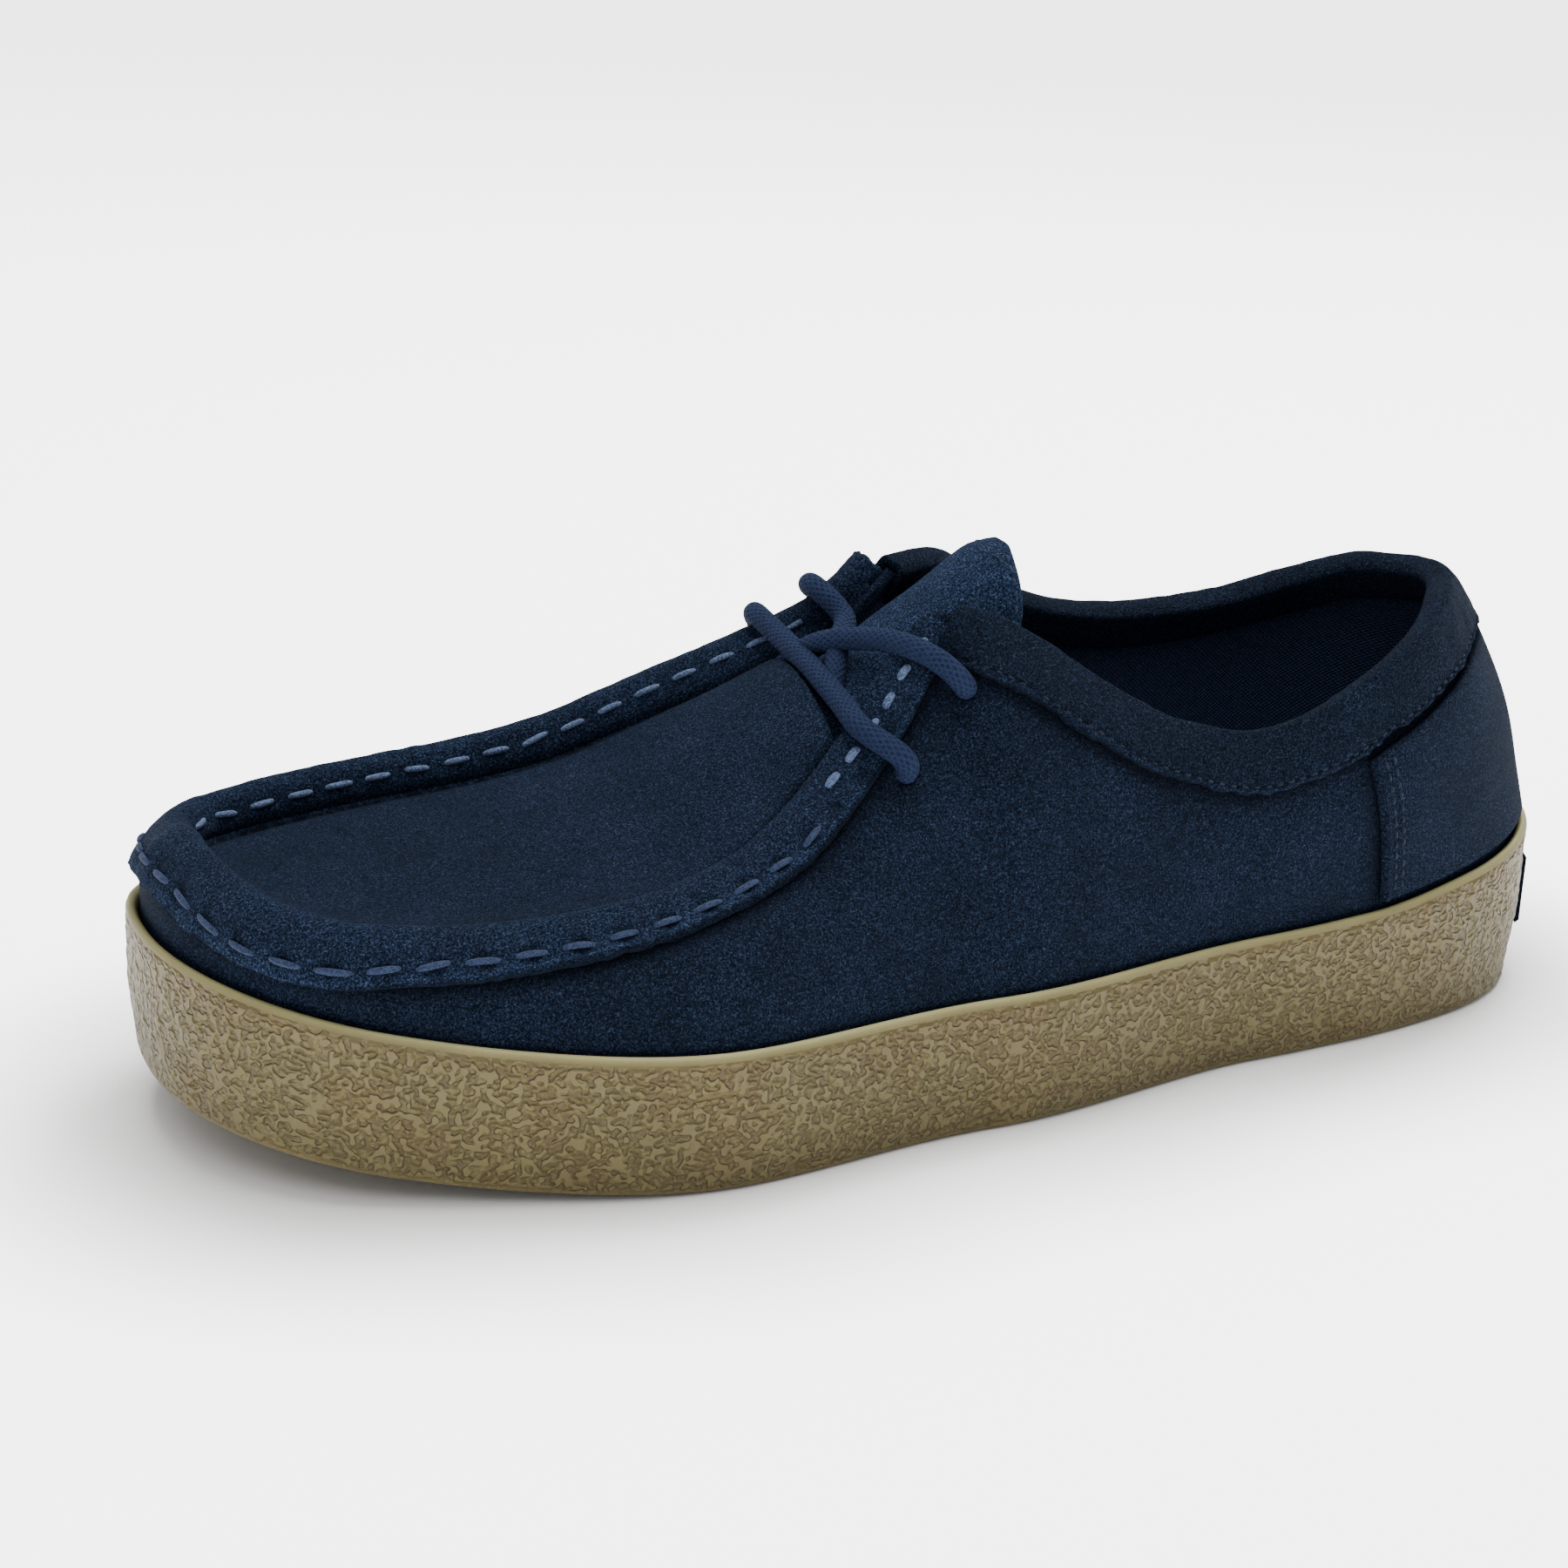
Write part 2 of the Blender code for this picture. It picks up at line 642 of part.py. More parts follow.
def wall_point(turn, share):
    """Outer face of the upper between the sole's lip (share 0) and the top edge (share 1)."""
    turn = np.asarray(turn, float)
    share = np.asarray(share, float)
    wrapped = (turn + 1) % 2 - 1
    ray = ray_of(wrapped)
    foot = ring(turn, LIP_THICKNESS + GAP, lip_above(ray) + LIP_ROUND * 0.5)
    top = top_edge(turn)
    chord = top - foot
    straight = chord / np.linalg.norm(chord, axis=-1, keepdims=True)
    normal = np.concatenate([edge_normal(turn), np.zeros(turn.shape + (1,))], -1)
    out = normal - straight * (normal * straight).sum(-1, keepdims=True)
    out /= np.linalg.norm(out, axis=-1, keepdims=True)
    swell = edge_column(wrapped, 4)[..., None]
    bulge = WALL_SWELL * swell * np.sin(np.pi * share ** 1.1)[..., None]
    return foot + chord * share[..., None] + out * bulge


def apron_point(ray, share):
    """Outer face of the apron from the lateral edge (share 0) to the medial edge (share 1)."""
    turn = turn_of(ray)
    lateral, medial = top_edge(-turn), top_edge(turn)
    share = np.asarray(share, float)[..., None]
    crown = APRON_CROWN * follow(APRON_TABLE, 1, ray)[..., None] * 4 * share * (1 - share)
    return lateral * (1 - share) + medial * share + crown * np.array([0, 0, 1.0])


def build_upper(group, cutters):
    """Vamp, quarters and apron as one shell, open at collar, throat and underneath."""
    shares = np.array([0, 0.14, 0.3, 0.46, 0.62, 0.76, 0.88, 1.0])
    turn, share = np.meshgrid(ROUND, shares, indexing="ij")
    wall = wall_point(turn, share)
    ray = ray_of(ROUND)
    lip = ring(ROUND, LIP_THICKNESS + GAP, lip_above(ray) - LIP_ROUND * 0.4)
    skirt = ring(ROUND, CUP_WALL + GAP, floor_above(ray) + GAP)
    wall = np.concatenate([skirt[:, None, :], lip[:, None, :], wall], 1)
    fore = RAYS[APRON_START:][RAYS[APRON_START:] <= THROAT_RAY + 0.001]
    rays, across = np.meshgrid(fore, np.linspace(0, 1, 9), indexing="ij")
    apron = apron_point(rays, across)[:, ::-1]
    toe_turns = ROUND[np.abs(ROUND) <= TURNS[APRON_START] + 0.0005]
    toe = np.concatenate([top_edge(toe_turns), apron[0, 1:-1]])
    mesh = mesh_from_grids("upper", [wall, apron], toe[::-1])
    item = make_object("upper", mesh, "suede", group)
    shell = item.modifiers.new("wall", "SOLIDIFY")
    shell.thickness = UPPER_WALL
    shell.offset = -1
    shell.use_even_offset = True
    shell.use_quality_normals = True
    for side, label in ((-1, "lateral"), (1, "medial")):
        for number, (ray, depth) in enumerate(zip(EYELET_RAYS, EYELET_DEPTHS)):
            name = label + "_eyelet_%d" % number
            cutter = eyelet_cutter(name, side * float(turn_of(ray)), depth, cutters)
            add_boolean(item, cutter, "DIFFERENCE")
    return item


def walk_down(turns, reaches, first, last, width=None):
    """Points and outward normals on the wall, reached by walking square off its top edge.

    The edge's direction at an end of a piece is read just inside first and last. The reaches
    are lengths, or shares of a width for each place.
    """
    small, settle, steps = 0.003, 0.02, 20
    place, share = np.array(turns, float), np.ones(len(turns))
    near = np.clip(place, first + settle, last - settle)
    edge = wall_point(near + small, share) - wall_point(near - small, share)
    width = np.ones(len(turns)) if width is None else width
    stride = np.max(reaches) / steps
    points, normals = [], []
    for _ in range(steps + 1):
        along = (wall_point(place + small, share) - wall_point(place - small, share)) / (2 * small)
        up = (wall_point(place, share) - wall_point(place, share - small)) / small
        normal = np.cross(up, along)
        normal /= np.linalg.norm(normal, axis=1)[:, None]
        if not points:
            heading = np.cross(edge, normal)
            heading *= -np.sign((heading * up).sum(1))[:, None]
            start = heading / np.linalg.norm(heading, axis=1)[:, None]
        heading = heading - normal * (heading * normal).sum(1)[:, None]
        heading /= np.linalg.norm(heading, axis=1)[:, None]
        points.append(wall_point(place, share))
        normals.append(normal)
        aa, ab, bb = (along ** 2).sum(1), (along * up).sum(1), (up ** 2).sum(1)
        ha, hb = (heading * along).sum(1), (heading * up).sum(1)
        whole = aa * bb - ab * ab
        place = place + stride * width * (ha * bb - hb * ab) / whole
        share = np.clip(share + stride * width * (hb * aa - ha * ab) / whole, 0.01, 1.0)
    points, normals = np.array(points), np.array(normals)
    at = np.clip(np.asarray(reaches) / stride, 0, steps)
    low = np.minimum(at.astype(int), steps - 1)
    part = (at - low)[:, None, None]
    spots = points[low] * (1 - part) + points[low + 1] * part
    spots = spots + start[None] * np.minimum(reaches, 0)[:, None, None]
    return spots.transpose(1, 0, 2), normals[np.rint(at).astype(int)].transpose(1, 0, 2)


def eyelet_cutter(name, turn, depth, cutters):
    """Drill for one punched eyelet."""
    end = float(turn_of(STRIP_TOP_RAY))
    points, normals = walk_down([turn], np.array([depth]), -end, end)
    point, normal = points[0][0], Vector(normals[0][0])
    build = bmesh.new()
    bmesh.ops.create_cone(
        build, cap_ends=True, segments=12, radius1=EYELET_BORE / 2, radius2=EYELET_BORE / 2,
        depth=UPPER_WALL * 6)
    mesh = bpy.data.meshes.new(name)
    build.to_mesh(mesh)
    build.free()
    cutter = bpy.data.objects.new(name, mesh)
    cutters.objects.link(cutter)
    cutter.location = point
    cutter.rotation_mode = "QUATERNION"
    cutter.rotation_quaternion = normal.to_track_quat("Z", "Y")
    hide_cutter(cutter)
    return cutter


def loft(name, loops):
    """Closed solid through a row of closed loops with the same number of points."""
    build = bmesh.new()
    verts = [[build.verts.new(point) for point in loop] for loop in loops]
    for low, high in zip(verts[:-1], verts[1:]):
        for j in range(len(low)):
            k = (j + 1) % len(low)
            build.faces.new((low[j], high[j], high[k], low[k]))
    build.faces.new(verts[0])
    build.faces.new(verts[-1][::-1])
    bmesh.ops.recalc_face_normals(build, faces=build.faces)
    mesh = bpy.data.meshes.new(name)
    build.to_mesh(mesh)
    build.free()
    return mesh


def heel_turns(start_ray):
    """Places from a ray on the lateral side, round the heel, to the same ray on the medial side."""
    near = np.concatenate([[turn_of(start_ray)], TURNS[TURNS > turn_of(start_ray) + 0.001]])
    return np.concatenate([near - 2, -near[-2::-1]]) + 2


def build_apron_seam(group):
    """Raised seam round the apron, running up both edges of the throat."""
    end = float(turn_of(STRIP_TOP_RAY))
    turns = ROUND[np.abs(ROUND) <= end + 0.0005]
    under = np.array([0.03, 0.28, 0.52, 0.76, 0.97])
    across = np.concatenate([[row[0] for row in RIDGE_SECTION], under])
    ray = ray_of(turns)
    width = RIDGE_WIDTH * follow(RIDGE_TABLE, 4, ray)
    spots, normals = walk_down(turns, across, -end, end, width)
    lateral = RIDGE_HEIGHT * follow(RIDGE_TABLE, 1, ray)
    medial = RIDGE_HEIGHT * follow(RIDGE_TABLE, 2, ray)
    share = np.clip(turns / turn_of(0.06) * 0.5 + 0.5, 0, 1)
    height = lateral * (1 - share) + medial * share
    flat = np.where(turns < 0, follow(RIDGE_TABLE, 3, ray), 0.0)
    loops = []
    for i in range(len(turns)):
        lift = [SEAM_GAP + ridge_lift(row[1], height[i], flat[i]) for row in RIDGE_SECTION]
        lift += [SEAM_GAP] * len(under)
        loops.append(spots[i] + normals[i] * np.array(lift)[:, None])
    return make_object("apron_seam", loft("apron_seam", loops), "suede", group)


def ridge_lift(share, height, flat):
    """Height of the seam over the wall: a ridge, turning into a flat strip where flat is 1."""
    strip = STRIP_THICKNESS * min(1.0, share * 1.6)
    return height * share * (1 - flat) + strip * flat


def build_collar_band(group):
    """Band folded over the top line, from one end of the throat round the heel to the other."""
    inside = UPPER_WALL + BAND_GAP
    section = (
        (BAND_WIDTH, BAND_GAP),
        (BAND_WIDTH, BAND_GAP + BAND_THICKNESS * 0.6),
        (BAND_WIDTH * 0.75, BAND_GAP + BAND_THICKNESS),
        (BAND_WIDTH * 0.3, BAND_GAP + BAND_THICKNESS),
        (-BAND_GAP, BAND_GAP + BAND_THICKNESS * 0.7),
        (-BAND_GAP - BAND_THICKNESS * 0.8, -UPPER_WALL * 0.5),
        (-BAND_GAP, -inside - BAND_THICKNESS * 0.7),
        (BAND_INSIDE, -inside - BAND_THICKNESS * 0.6),
        (BAND_INSIDE, -inside),
        (-BAND_GAP, -inside),
        (-BAND_GAP, BAND_GAP),
        (BAND_WIDTH * 0.5, BAND_GAP),
    )
    turns = heel_turns(BAND_START_RAY)
    reach = np.array([row[0] for row in section])
    lift = np.array([row[1] for row in section])
    spots, normals = walk_down(turns, reach, turns[0], turns[-1])
    loops = spots + normals * lift[None, :, None]
    return make_object("collar_band", loft("collar_band", loops), "suede", group)


def build_heel_counter(group):
    """Panel over the back of the upper, from near the sole to just under the collar band."""
    small, foot, margin, steps = 0.003, 0.03, 0.02, 60
    band = heel_turns(BAND_START_RAY)
    lower, _ = walk_down(band, np.array([BAND_WIDTH + 2 * OVERLAY_GAP]), band[0], band[-1])
    shares = np.linspace(foot, 1, steps)
    loops = []
    for turn in heel_turns(PANEL_RAY):
        line = wall_point(np.full(steps, turn), shares)
        gap = np.linalg.norm(line[:, None] - lower[None, :, 0], axis=-1).min(1)
        share = np.linspace(foot, shares[gap.argmin()] - margin, PANEL_ROWS)
        here = np.full(PANEL_ROWS, turn)
        point = wall_point(here, share)
        along = wall_point(here + small, share) - wall_point(here - small, share)
        up = wall_point(here, share + small) - wall_point(here, share - small)
        normal = np.cross(up, along)
        normal /= np.linalg.norm(normal, axis=1)[:, None]
        outer = point + normal * (OVERLAY_GAP + PANEL_THICKNESS)
        loops.append(np.concatenate([outer, (point + normal * OVERLAY_GAP)[::-1]]))
    return make_object("heel_counter", loft("heel_counter", loops), "suede", group)


def tongue_point(along, arc):
    """Top face of the tongue: along it from 0 to 1, and arc length from its centre line."""
    x = (follow(TONGUE_TABLE, 1, along, flat=False) - 0.5) * LENGTH
    z = SIDE_HEIGHT + INSTEP_RISE * follow(TONGUE_TABLE, 2, along, flat=False)
    radius = TONGUE_HALF_WIDTH * follow(TONGUE_TABLE, 3, along)
    small = 0.01
    low, high = np.clip(along - small, 0, 1), np.clip(along + small, 0, 1)
    run = (follow(TONGUE_TABLE, 1, high, False) - follow(TONGUE_TABLE, 1, low, False)) * LENGTH
    climb = (follow(TONGUE_TABLE, 2, high, False) - follow(TONGUE_TABLE, 2, low, False)) * INSTEP_RISE
    size = np.hypot(run, climb)
    angle = arc / radius
    drop = radius * (1 - np.cos(angle))
    y = CENTRE_SHIFT + radius * np.sin(angle)
    return np.stack([x + drop * climb / size, y, z - drop * run / size], -1)


def build_tongue(group):
    """Padded tongue with a rounded tip, from under the apron up through the throat."""
    lower, upper = TONGUE_TABLE[0], TONGUE_TABLE[-1]
    reach = math.hypot((upper[1] - lower[1]) * LENGTH, (upper[2] - lower[2]) * INSTEP_RISE)
    along = np.concatenate([np.linspace(0, 0.78, 8), [0.85, 0.91, 0.96, 0.99]])
    to_tip = (1 - along) * reach
    rounding = cap_share(to_tip / TONGUE_TIP_ROUND, 2.4)
    half = TONGUE_HALF_WIDTH * follow(TONGUE_TABLE, 4, along) * np.where(to_tip < TONGUE_TIP_ROUND, rounding, 1)
    share = np.linspace(-1, 1, 9)
    rows, arc = np.meshgrid(along, share, indexing="ij")
    arc = arc * half[:, None] - TONGUE_SKEW * (half / TONGUE_HALF_WIDTH)[:, None]
    mesh = mesh_from_grids("tongue", [tongue_point(rows, arc)[:, ::-1]])
    item = make_object("tongue", mesh, "suede", group)
    shell = item.modifiers.new("padding", "SOLIDIFY")
    shell.thickness = TONGUE_THICKNESS
    shell.offset = -1
    shell.use_even_offset = True
    return item


def tongue_spot(along, across, lift):
    """Place over the tongue's top face."""
    small = 0.01
    arc = across * TONGUE_HALF_WIDTH
    here, ahead = tongue_point(along, arc), tongue_point(along + small, arc)
    aside = tongue_point(along, arc + small * MM)
    normal = np.cross(ahead - here, aside - here)
    return here + normal / np.linalg.norm(normal) * LACE_DIAMETER * lift


def seam_crossing(side, number, table):
    """Places of the lace from an eyelet up over the seam to the throat."""
    ray, depth = EYELET_RAYS[number], EYELET_DEPTHS[number]
    column = 1 if side < 0 else 2
    ridge = ridge_lift(1.0, RIDGE_HEIGHT * float(follow(RIDGE_TABLE, column, ray)), float(side < 0))
    height = SEAM_GAP + ridge + GAP + LACE_DIAMETER / 2
    end = float(turn_of(STRIP_TOP_RAY))
    reach = np.array([row[0] for row in table]) * depth
    spots, normals = walk_down([side * float(turn_of(ray))], reach, -end, end)
    lift = np.array([row[1] for row in table]) * height
    return list(spots[0] + normals[0] * lift[:, None])


def smooth_path(points, count):
    """Evenly spaced places on a smooth curve through control points."""
    points = np.array(points)
    step = np.linalg.norm(np.diff(points, axis=0), axis=1)
    key = np.concatenate([[0], np.cumsum(step)])
    slope = np.gradient(points, key, axis=0)
    at = np.linspace(0, key[-1], count)
    k = np.clip(np.searchsorted(key, at, side="right") - 1, 0, len(step) - 1)
    u, size = ((at - key[k]) / step[k])[:, None], step[k][:, None]
    return (
        points[k] * (1 + 2 * u) * (1 - u) ** 2
        + points[k + 1] * u ** 2 * (3 - 2 * u)
        + size * (slope[k] * u * (1 - u) ** 2 + slope[k + 1] * u ** 2 * (u - 1))
    )


def cord_mesh(name, path):
    """Mesh of the round lace along a path, closed at both ends."""
    curve = bpy.data.curves.new(name, "CURVE")
    curve.dimensions = "3D"
    curve.bevel_depth = LACE_DIAMETER / 2
    curve.bevel_resolution = 2
    curve.use_fill_caps = True
    spline = curve.splines.new("POLY")
    spline.points.add(len(path) - 1)
    for point, place in zip(spline.points, path):
        point.co = (*place, 1)
    item = bpy.data.objects.new(name, curve)
    mesh = bpy.data.meshes.new_from_object(item)
    bpy.data.objects.remove(item)
    mesh.name = name
    build = bmesh.new()
    build.from_mesh(mesh)
    bmesh.ops.remove_doubles(build, verts=build.verts, dist=0.00002)
    bmesh.ops.recalc_face_normals(build, faces=build.faces)
    build.to_mesh(mesh)
    build.free()
    return mesh


def build_lace(group, cutters):
    """Straight bar over the lower eyelets and two crossings to the upper ones, joined where they cross."""
    bar = seam_crossing(1, 0, MEDIAL_OVER) + [tongue_spot(*row) for row in BAR_OVER]
    bar += seam_crossing(-1, 0, LATERAL_OVER)[::-1]
    crossing = [tongue_spot(*row) for row in CROSSING_OVER] + seam_crossing(-1, 1, LATERAL_OVER)[::-1]
    back = seam_crossing(1, 1, MEDIAL_OVER) + [tongue_spot(*row) for row in RETURN_OVER]
    item = make_object("lace", cord_mesh("lace", smooth_path(bar, LACE_STEPS[0])), "braid", group)
    for name, path, count in (("crossing", crossing, LACE_STEPS[1]), ("return", back, LACE_STEPS[2])):
        part = bpy.data.objects.new("lace_" + name, cord_mesh("lace_" + name, smooth_path(path, count)))
        cutters.objects.link(part)
        hide_cutter(part)
        add_boolean(item, part, "UNION")
    return item


def build_heel_patch(group):
    """Thin bare inlay on the back of the cupsole."""
    half = PATCH_WIDTH / 2
    middle = float(lip_above(1.0)) / 2
    turn_step = float(turn_of(1 - (half ** 2) / (HEEL_CAP_LENGTH * LENGTH)))
    turns = np.linspace(turn_step, 2 - turn_step, 9)
    section = ((GAP, -1.0), (GAP + PATCH_THICKNESS, -0.9), (GAP + PATCH_THICKNESS, 0.9), (GAP, 1.0))
    loops = []
    for turn in turns:
        plan, normal = sole_edge(turn), edge_normal(turn)
        spots = [plan + normal * lift for lift, _ in section]
        loops.append([(x, y, middle + row[1] * PATCH_HEIGHT / 2) for (x, y), row in zip(spots, section)])
    return make_object("heel_patch", loft("heel_patch", loops), "suede_dark", group)


def main():
    clear_scene()
    group = make_collection(COLLECTION)
    cutters = make_collection(CUTTERS)
    build_cupsole(group)
    build_outsole(group, cutters)
    build_insole(group)
    build_upper(group, cutters)
    build_tongue(group)
    build_apron_seam(group)
    build_collar_band(group)
    build_heel_counter(group)
    build_heel_patch(group)
    build_lace(group, cutters)


main()
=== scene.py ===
import math

import bmesh
import bpy
import numpy as np
from mathutils import Matrix, Vector


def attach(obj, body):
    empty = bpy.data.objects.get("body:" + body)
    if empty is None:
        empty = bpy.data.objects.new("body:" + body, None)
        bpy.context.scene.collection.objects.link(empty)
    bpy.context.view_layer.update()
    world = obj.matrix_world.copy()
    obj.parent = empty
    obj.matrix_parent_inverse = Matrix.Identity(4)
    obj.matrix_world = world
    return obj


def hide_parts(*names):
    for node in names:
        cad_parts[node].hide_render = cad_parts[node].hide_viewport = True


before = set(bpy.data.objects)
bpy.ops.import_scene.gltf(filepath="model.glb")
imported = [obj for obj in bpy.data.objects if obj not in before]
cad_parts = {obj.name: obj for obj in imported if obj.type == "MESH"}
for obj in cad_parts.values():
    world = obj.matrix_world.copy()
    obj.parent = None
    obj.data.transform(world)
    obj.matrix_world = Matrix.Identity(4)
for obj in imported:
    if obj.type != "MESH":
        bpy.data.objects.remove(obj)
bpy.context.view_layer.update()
mm = 0.001
print("frame loaded:", len(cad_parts), "nodes")

# Sole: what a user would change, in metres
sole = {
    "length": 298 * mm, "ballWidth": 111.5 * mm, "waistWidth": 94.5 * mm, "heelWidth": 77 * mm,
    "toeCapLength": 54 * mm, "heelCapLength": 60 * mm, "toeSpring": 12.4 * mm, "springLength": 101 * mm,
    "sideHeight": 27.3 * mm, "toeSideRise": 1.5 * mm, "heelSideRise": 10.3 * mm, "centreBend": 4.5 * mm,
    "centreShift": 1.45 * mm, "lipThickness": 2.4 * mm, "lipRound": 1.2 * mm, "cupWall": 4.2 * mm,
    "cupLean": 2.0 * mm, "cupFootRound": 1.6 * mm, "floorFore": 11 * mm, "floorHeel": 20 * mm,
    "rimWidth": 3.0 * mm, "recessDepth": 4.5 * mm, "plateThickness": 1.6 * mm, "gap": 0.3 * mm,
}
# Centre line and half width of the sole by ray, the share of its length from the toe
soleTable = (
    # ray, bend, ball, waist, heel
    (0.00, 1.05, 0.80, 0.00, 0.00),
    (0.12, 0.70, 0.87, 0.00, 0.00),
    (0.30, -0.33, 1.00, 0.00, 0.00),
    (0.50, -0.82, 0.00, 1.00, 0.00),
    (0.72, -0.38, 0.00, 0.00, 1.013),
    (0.88, 0.18, 0.00, 0.00, 0.995),
    (1.00, -0.04, 0.00, 0.00, 1.013),
)

lipTable = (
    # ray, toe, heel
    (0.00, 1.00, 0.00),
    (0.35, 0.00, 0.00),
    (0.68, 0.00, 0.00),
    (0.80, 0.00, 0.10),
    (0.90, 0.00, 0.45),
    (1.00, 0.00, 1.00),
)

floorTable = (
    # ray, heel share
    (0.00, 0.00),
    (0.40, 0.05),
    (0.75, 0.95),
    (1.00, 1.00),
)

# Upper: heights, walls, and the rays where its edges change
shell = {
    "instepRise": 64 * mm, "heelRise": 57 * mm, "upperWall": 2.0 * mm, "wallSwell": 8 * mm,
    "apronCrown": 7 * mm, "throatRay": 0.42, "stripTopRay": 0.50, "collarStartRay": 0.525,
    "bandStartRay": 0.532, "panelRay": 0.814, "eyeletBore": 4.8 * mm, "eyeletRays": (0.427, 0.477),
    "eyeletDepths": (14.5 * mm, 15.5 * mm),
}
# Collar band: its width, thickness and how far it reaches inside
band = {
    "bandWidth": 10.5 * mm, "bandGap": 0.6 * mm, "bandThickness": 1.8 * mm, "bandInside": 7 * mm,
}
lateralEdge = (
    # ray, along, across, rise, swell
    (0.000, 0.0455, 0.000, 0.205, 0.75),
    (0.030, 0.054, 0.320, 0.210, 0.70),
    (0.060, 0.071, 0.555, 0.206, 0.62),
    (0.100, 0.107, 0.675, 0.200, 0.60),
    (0.150, 0.154, 0.680, 0.212, 0.66),
    (0.200, 0.205, 0.652, 0.240, 0.74),
    (0.250, 0.252, 0.607, 0.275, 0.82),
    (0.300, 0.299, 0.546, 0.310, 0.90),
    (0.350, 0.349, 0.480, 0.386, 0.95),
    (0.390, 0.389, 0.407, 0.503, 0.88),
    (0.420, 0.423, 0.336, 0.652, 0.75),
    (0.450, 0.451, 0.262, 0.784, 0.68),
    (0.475, 0.473, 0.194, 0.894, 0.62),
    (0.500, 0.498, 0.155, 0.990, 0.60),
    (0.525, 0.521, 0.270, 1.035, 0.58),
    (0.560, 0.552, 0.378, 0.975, 0.55),
    (0.620, 0.600, 0.542, 0.838, 0.50),
    (0.680, 0.651, 0.697, 0.724, 0.48),
    (0.740, 0.705, 0.797, 0.678, 0.48),
    (0.790, 0.758, 0.839, 0.738, 0.50),
    (0.840, 0.805, 0.815, 0.839, 0.52),
    (0.890, 0.849, 0.700, 0.922, 0.46),
    (0.940, 0.888, 0.453, 0.985, 0.40),
    (1.000, 0.921, 0.000, 1.000, 0.38),
)

medialEdge = (
    # ray, along, across, rise, swell
    (0.000, 0.0455, 0.000, 0.205, 0.75),
    (0.030, 0.050, 0.230, 0.195, 0.72),
    (0.060, 0.069, 0.400, 0.200, 0.68),
    (0.100, 0.111, 0.502, 0.243, 0.70),
    (0.150, 0.158, 0.552, 0.293, 0.78),
    (0.200, 0.208, 0.581, 0.336, 0.85),
    (0.250, 0.258, 0.581, 0.383, 0.90),
    (0.300, 0.309, 0.581, 0.446, 0.92),
    (0.350, 0.359, 0.558, 0.548, 0.88),
    (0.390, 0.396, 0.502, 0.642, 0.80),
    (0.420, 0.430, 0.445, 0.727, 0.72),
    (0.450, 0.463, 0.402, 0.805, 0.68),
    (0.475, 0.483, 0.378, 0.880, 0.62),
    (0.500, 0.502, 0.384, 0.975, 0.60),
    (0.525, 0.521, 0.440, 1.060, 0.58),
    (0.560, 0.552, 0.530, 1.065, 0.55),
    (0.620, 0.607, 0.640, 0.941, 0.50),
    (0.680, 0.668, 0.719, 0.857, 0.48),
    (0.740, 0.722, 0.758, 0.833, 0.48),
    (0.790, 0.768, 0.754, 0.841, 0.50),
    (0.840, 0.815, 0.708, 0.874, 0.52),
    (0.890, 0.859, 0.606, 0.925, 0.46),
    (0.940, 0.896, 0.400, 0.985, 0.40),
    (1.000, 0.921, 0.000, 1.000, 0.38),
)

apronTable = (
    # ray, crown
    (0.00, 0.00),
    (0.10, 0.10),
    (0.20, 0.20),
    (0.30, 0.40),
    (0.38, 0.85),
    (0.42, 1.00),
)


# Place round the outline, 0 at the toe and 1 at the heel, for a share of the length.
def turnOf(ray):
    return np.arccos(1 - 2 * np.asarray(ray, float)) / np.pi


# Share of the length for a place round the outline.
def rayOf(turn):
    return (1 - np.cos(np.pi * np.asarray(turn, float))) / 2


endTurn = float(turnOf(shell["stripTopRay"]))


# Vectors brought to length 1.
def unit(vectors):
    return vectors / np.maximum(np.linalg.norm(vectors, axis=-1, keepdims=True), 1e-12)


# Length walked along rows of points, from 0.
def runAlong(rows):
    steps = np.linalg.norm(np.diff(rows, axis=0), axis=-1)
    return np.concatenate([0 * steps[:1], np.cumsum(steps, axis=0)])


# Goes smoothly from 0 at low to 1 at high.
def fade(value, low, high):
    share = np.clip((value - low) / (high - low), 0, 1)
    return share * share * (3 - 2 * share)


# Each row averaged with its neighbours up to a reach; mode says how the rows go on past the ends.
def soften(rows, reach, mode="edge", **settings):
    padded = np.pad(rows, ((reach, reach), (0, 0)), mode, **settings)
    weights = np.ones(2 * reach + 1) / (2 * reach + 1)
    return np.stack([np.convolve(column, weights, "valid") for column in padded.T], 1)


# Cubic curve through values at rising keys, with a given slope at each.
def cubic(key, value, slope, at):
    k = np.clip(np.searchsorted(key, at, side="right") - 1, 0, len(key) - 2)
    step = key[k + 1] - key[k]
    u = (at - key[k]) / step
    if value.ndim > 1:
        u, step = u[:, None], step[:, None]
    return (
        value[k] * (1 + 2 * u) * (1 - u) ** 2
        + value[k + 1] * u ** 2 * (3 - 2 * u)
        + step * (slope[k] * u * (1 - u) ** 2 + slope[k + 1] * u ** 2 * (u - 1))
    )


# One column of a table at the given rays, along a monotone cubic curve.
def follow(table, column, ray, flat=True):
    key = turnOf([row[0] for row in table])
    value = np.array([row[column] for row in table])
    step = np.diff(key)
    rise = np.diff(value) / step
    slope = np.zeros(len(key))
    early, late = 2 * step[1:] + step[:-1], step[1:] + 2 * step[:-1]
    same = rise[:-1] * rise[1:] > 0
    safe = np.where(same, rise[:-1], 1.0), np.where(same, rise[1:], 1.0)
    slope[1:-1] = np.where(same, (early + late) / (early / safe[0] + late / safe[1]), 0.0)
    if not flat:
        slope[0], slope[-1] = rise[0], rise[-1]
    return cubic(key, value, slope, turnOf(np.clip(ray, table[0][0], table[-1][0])))


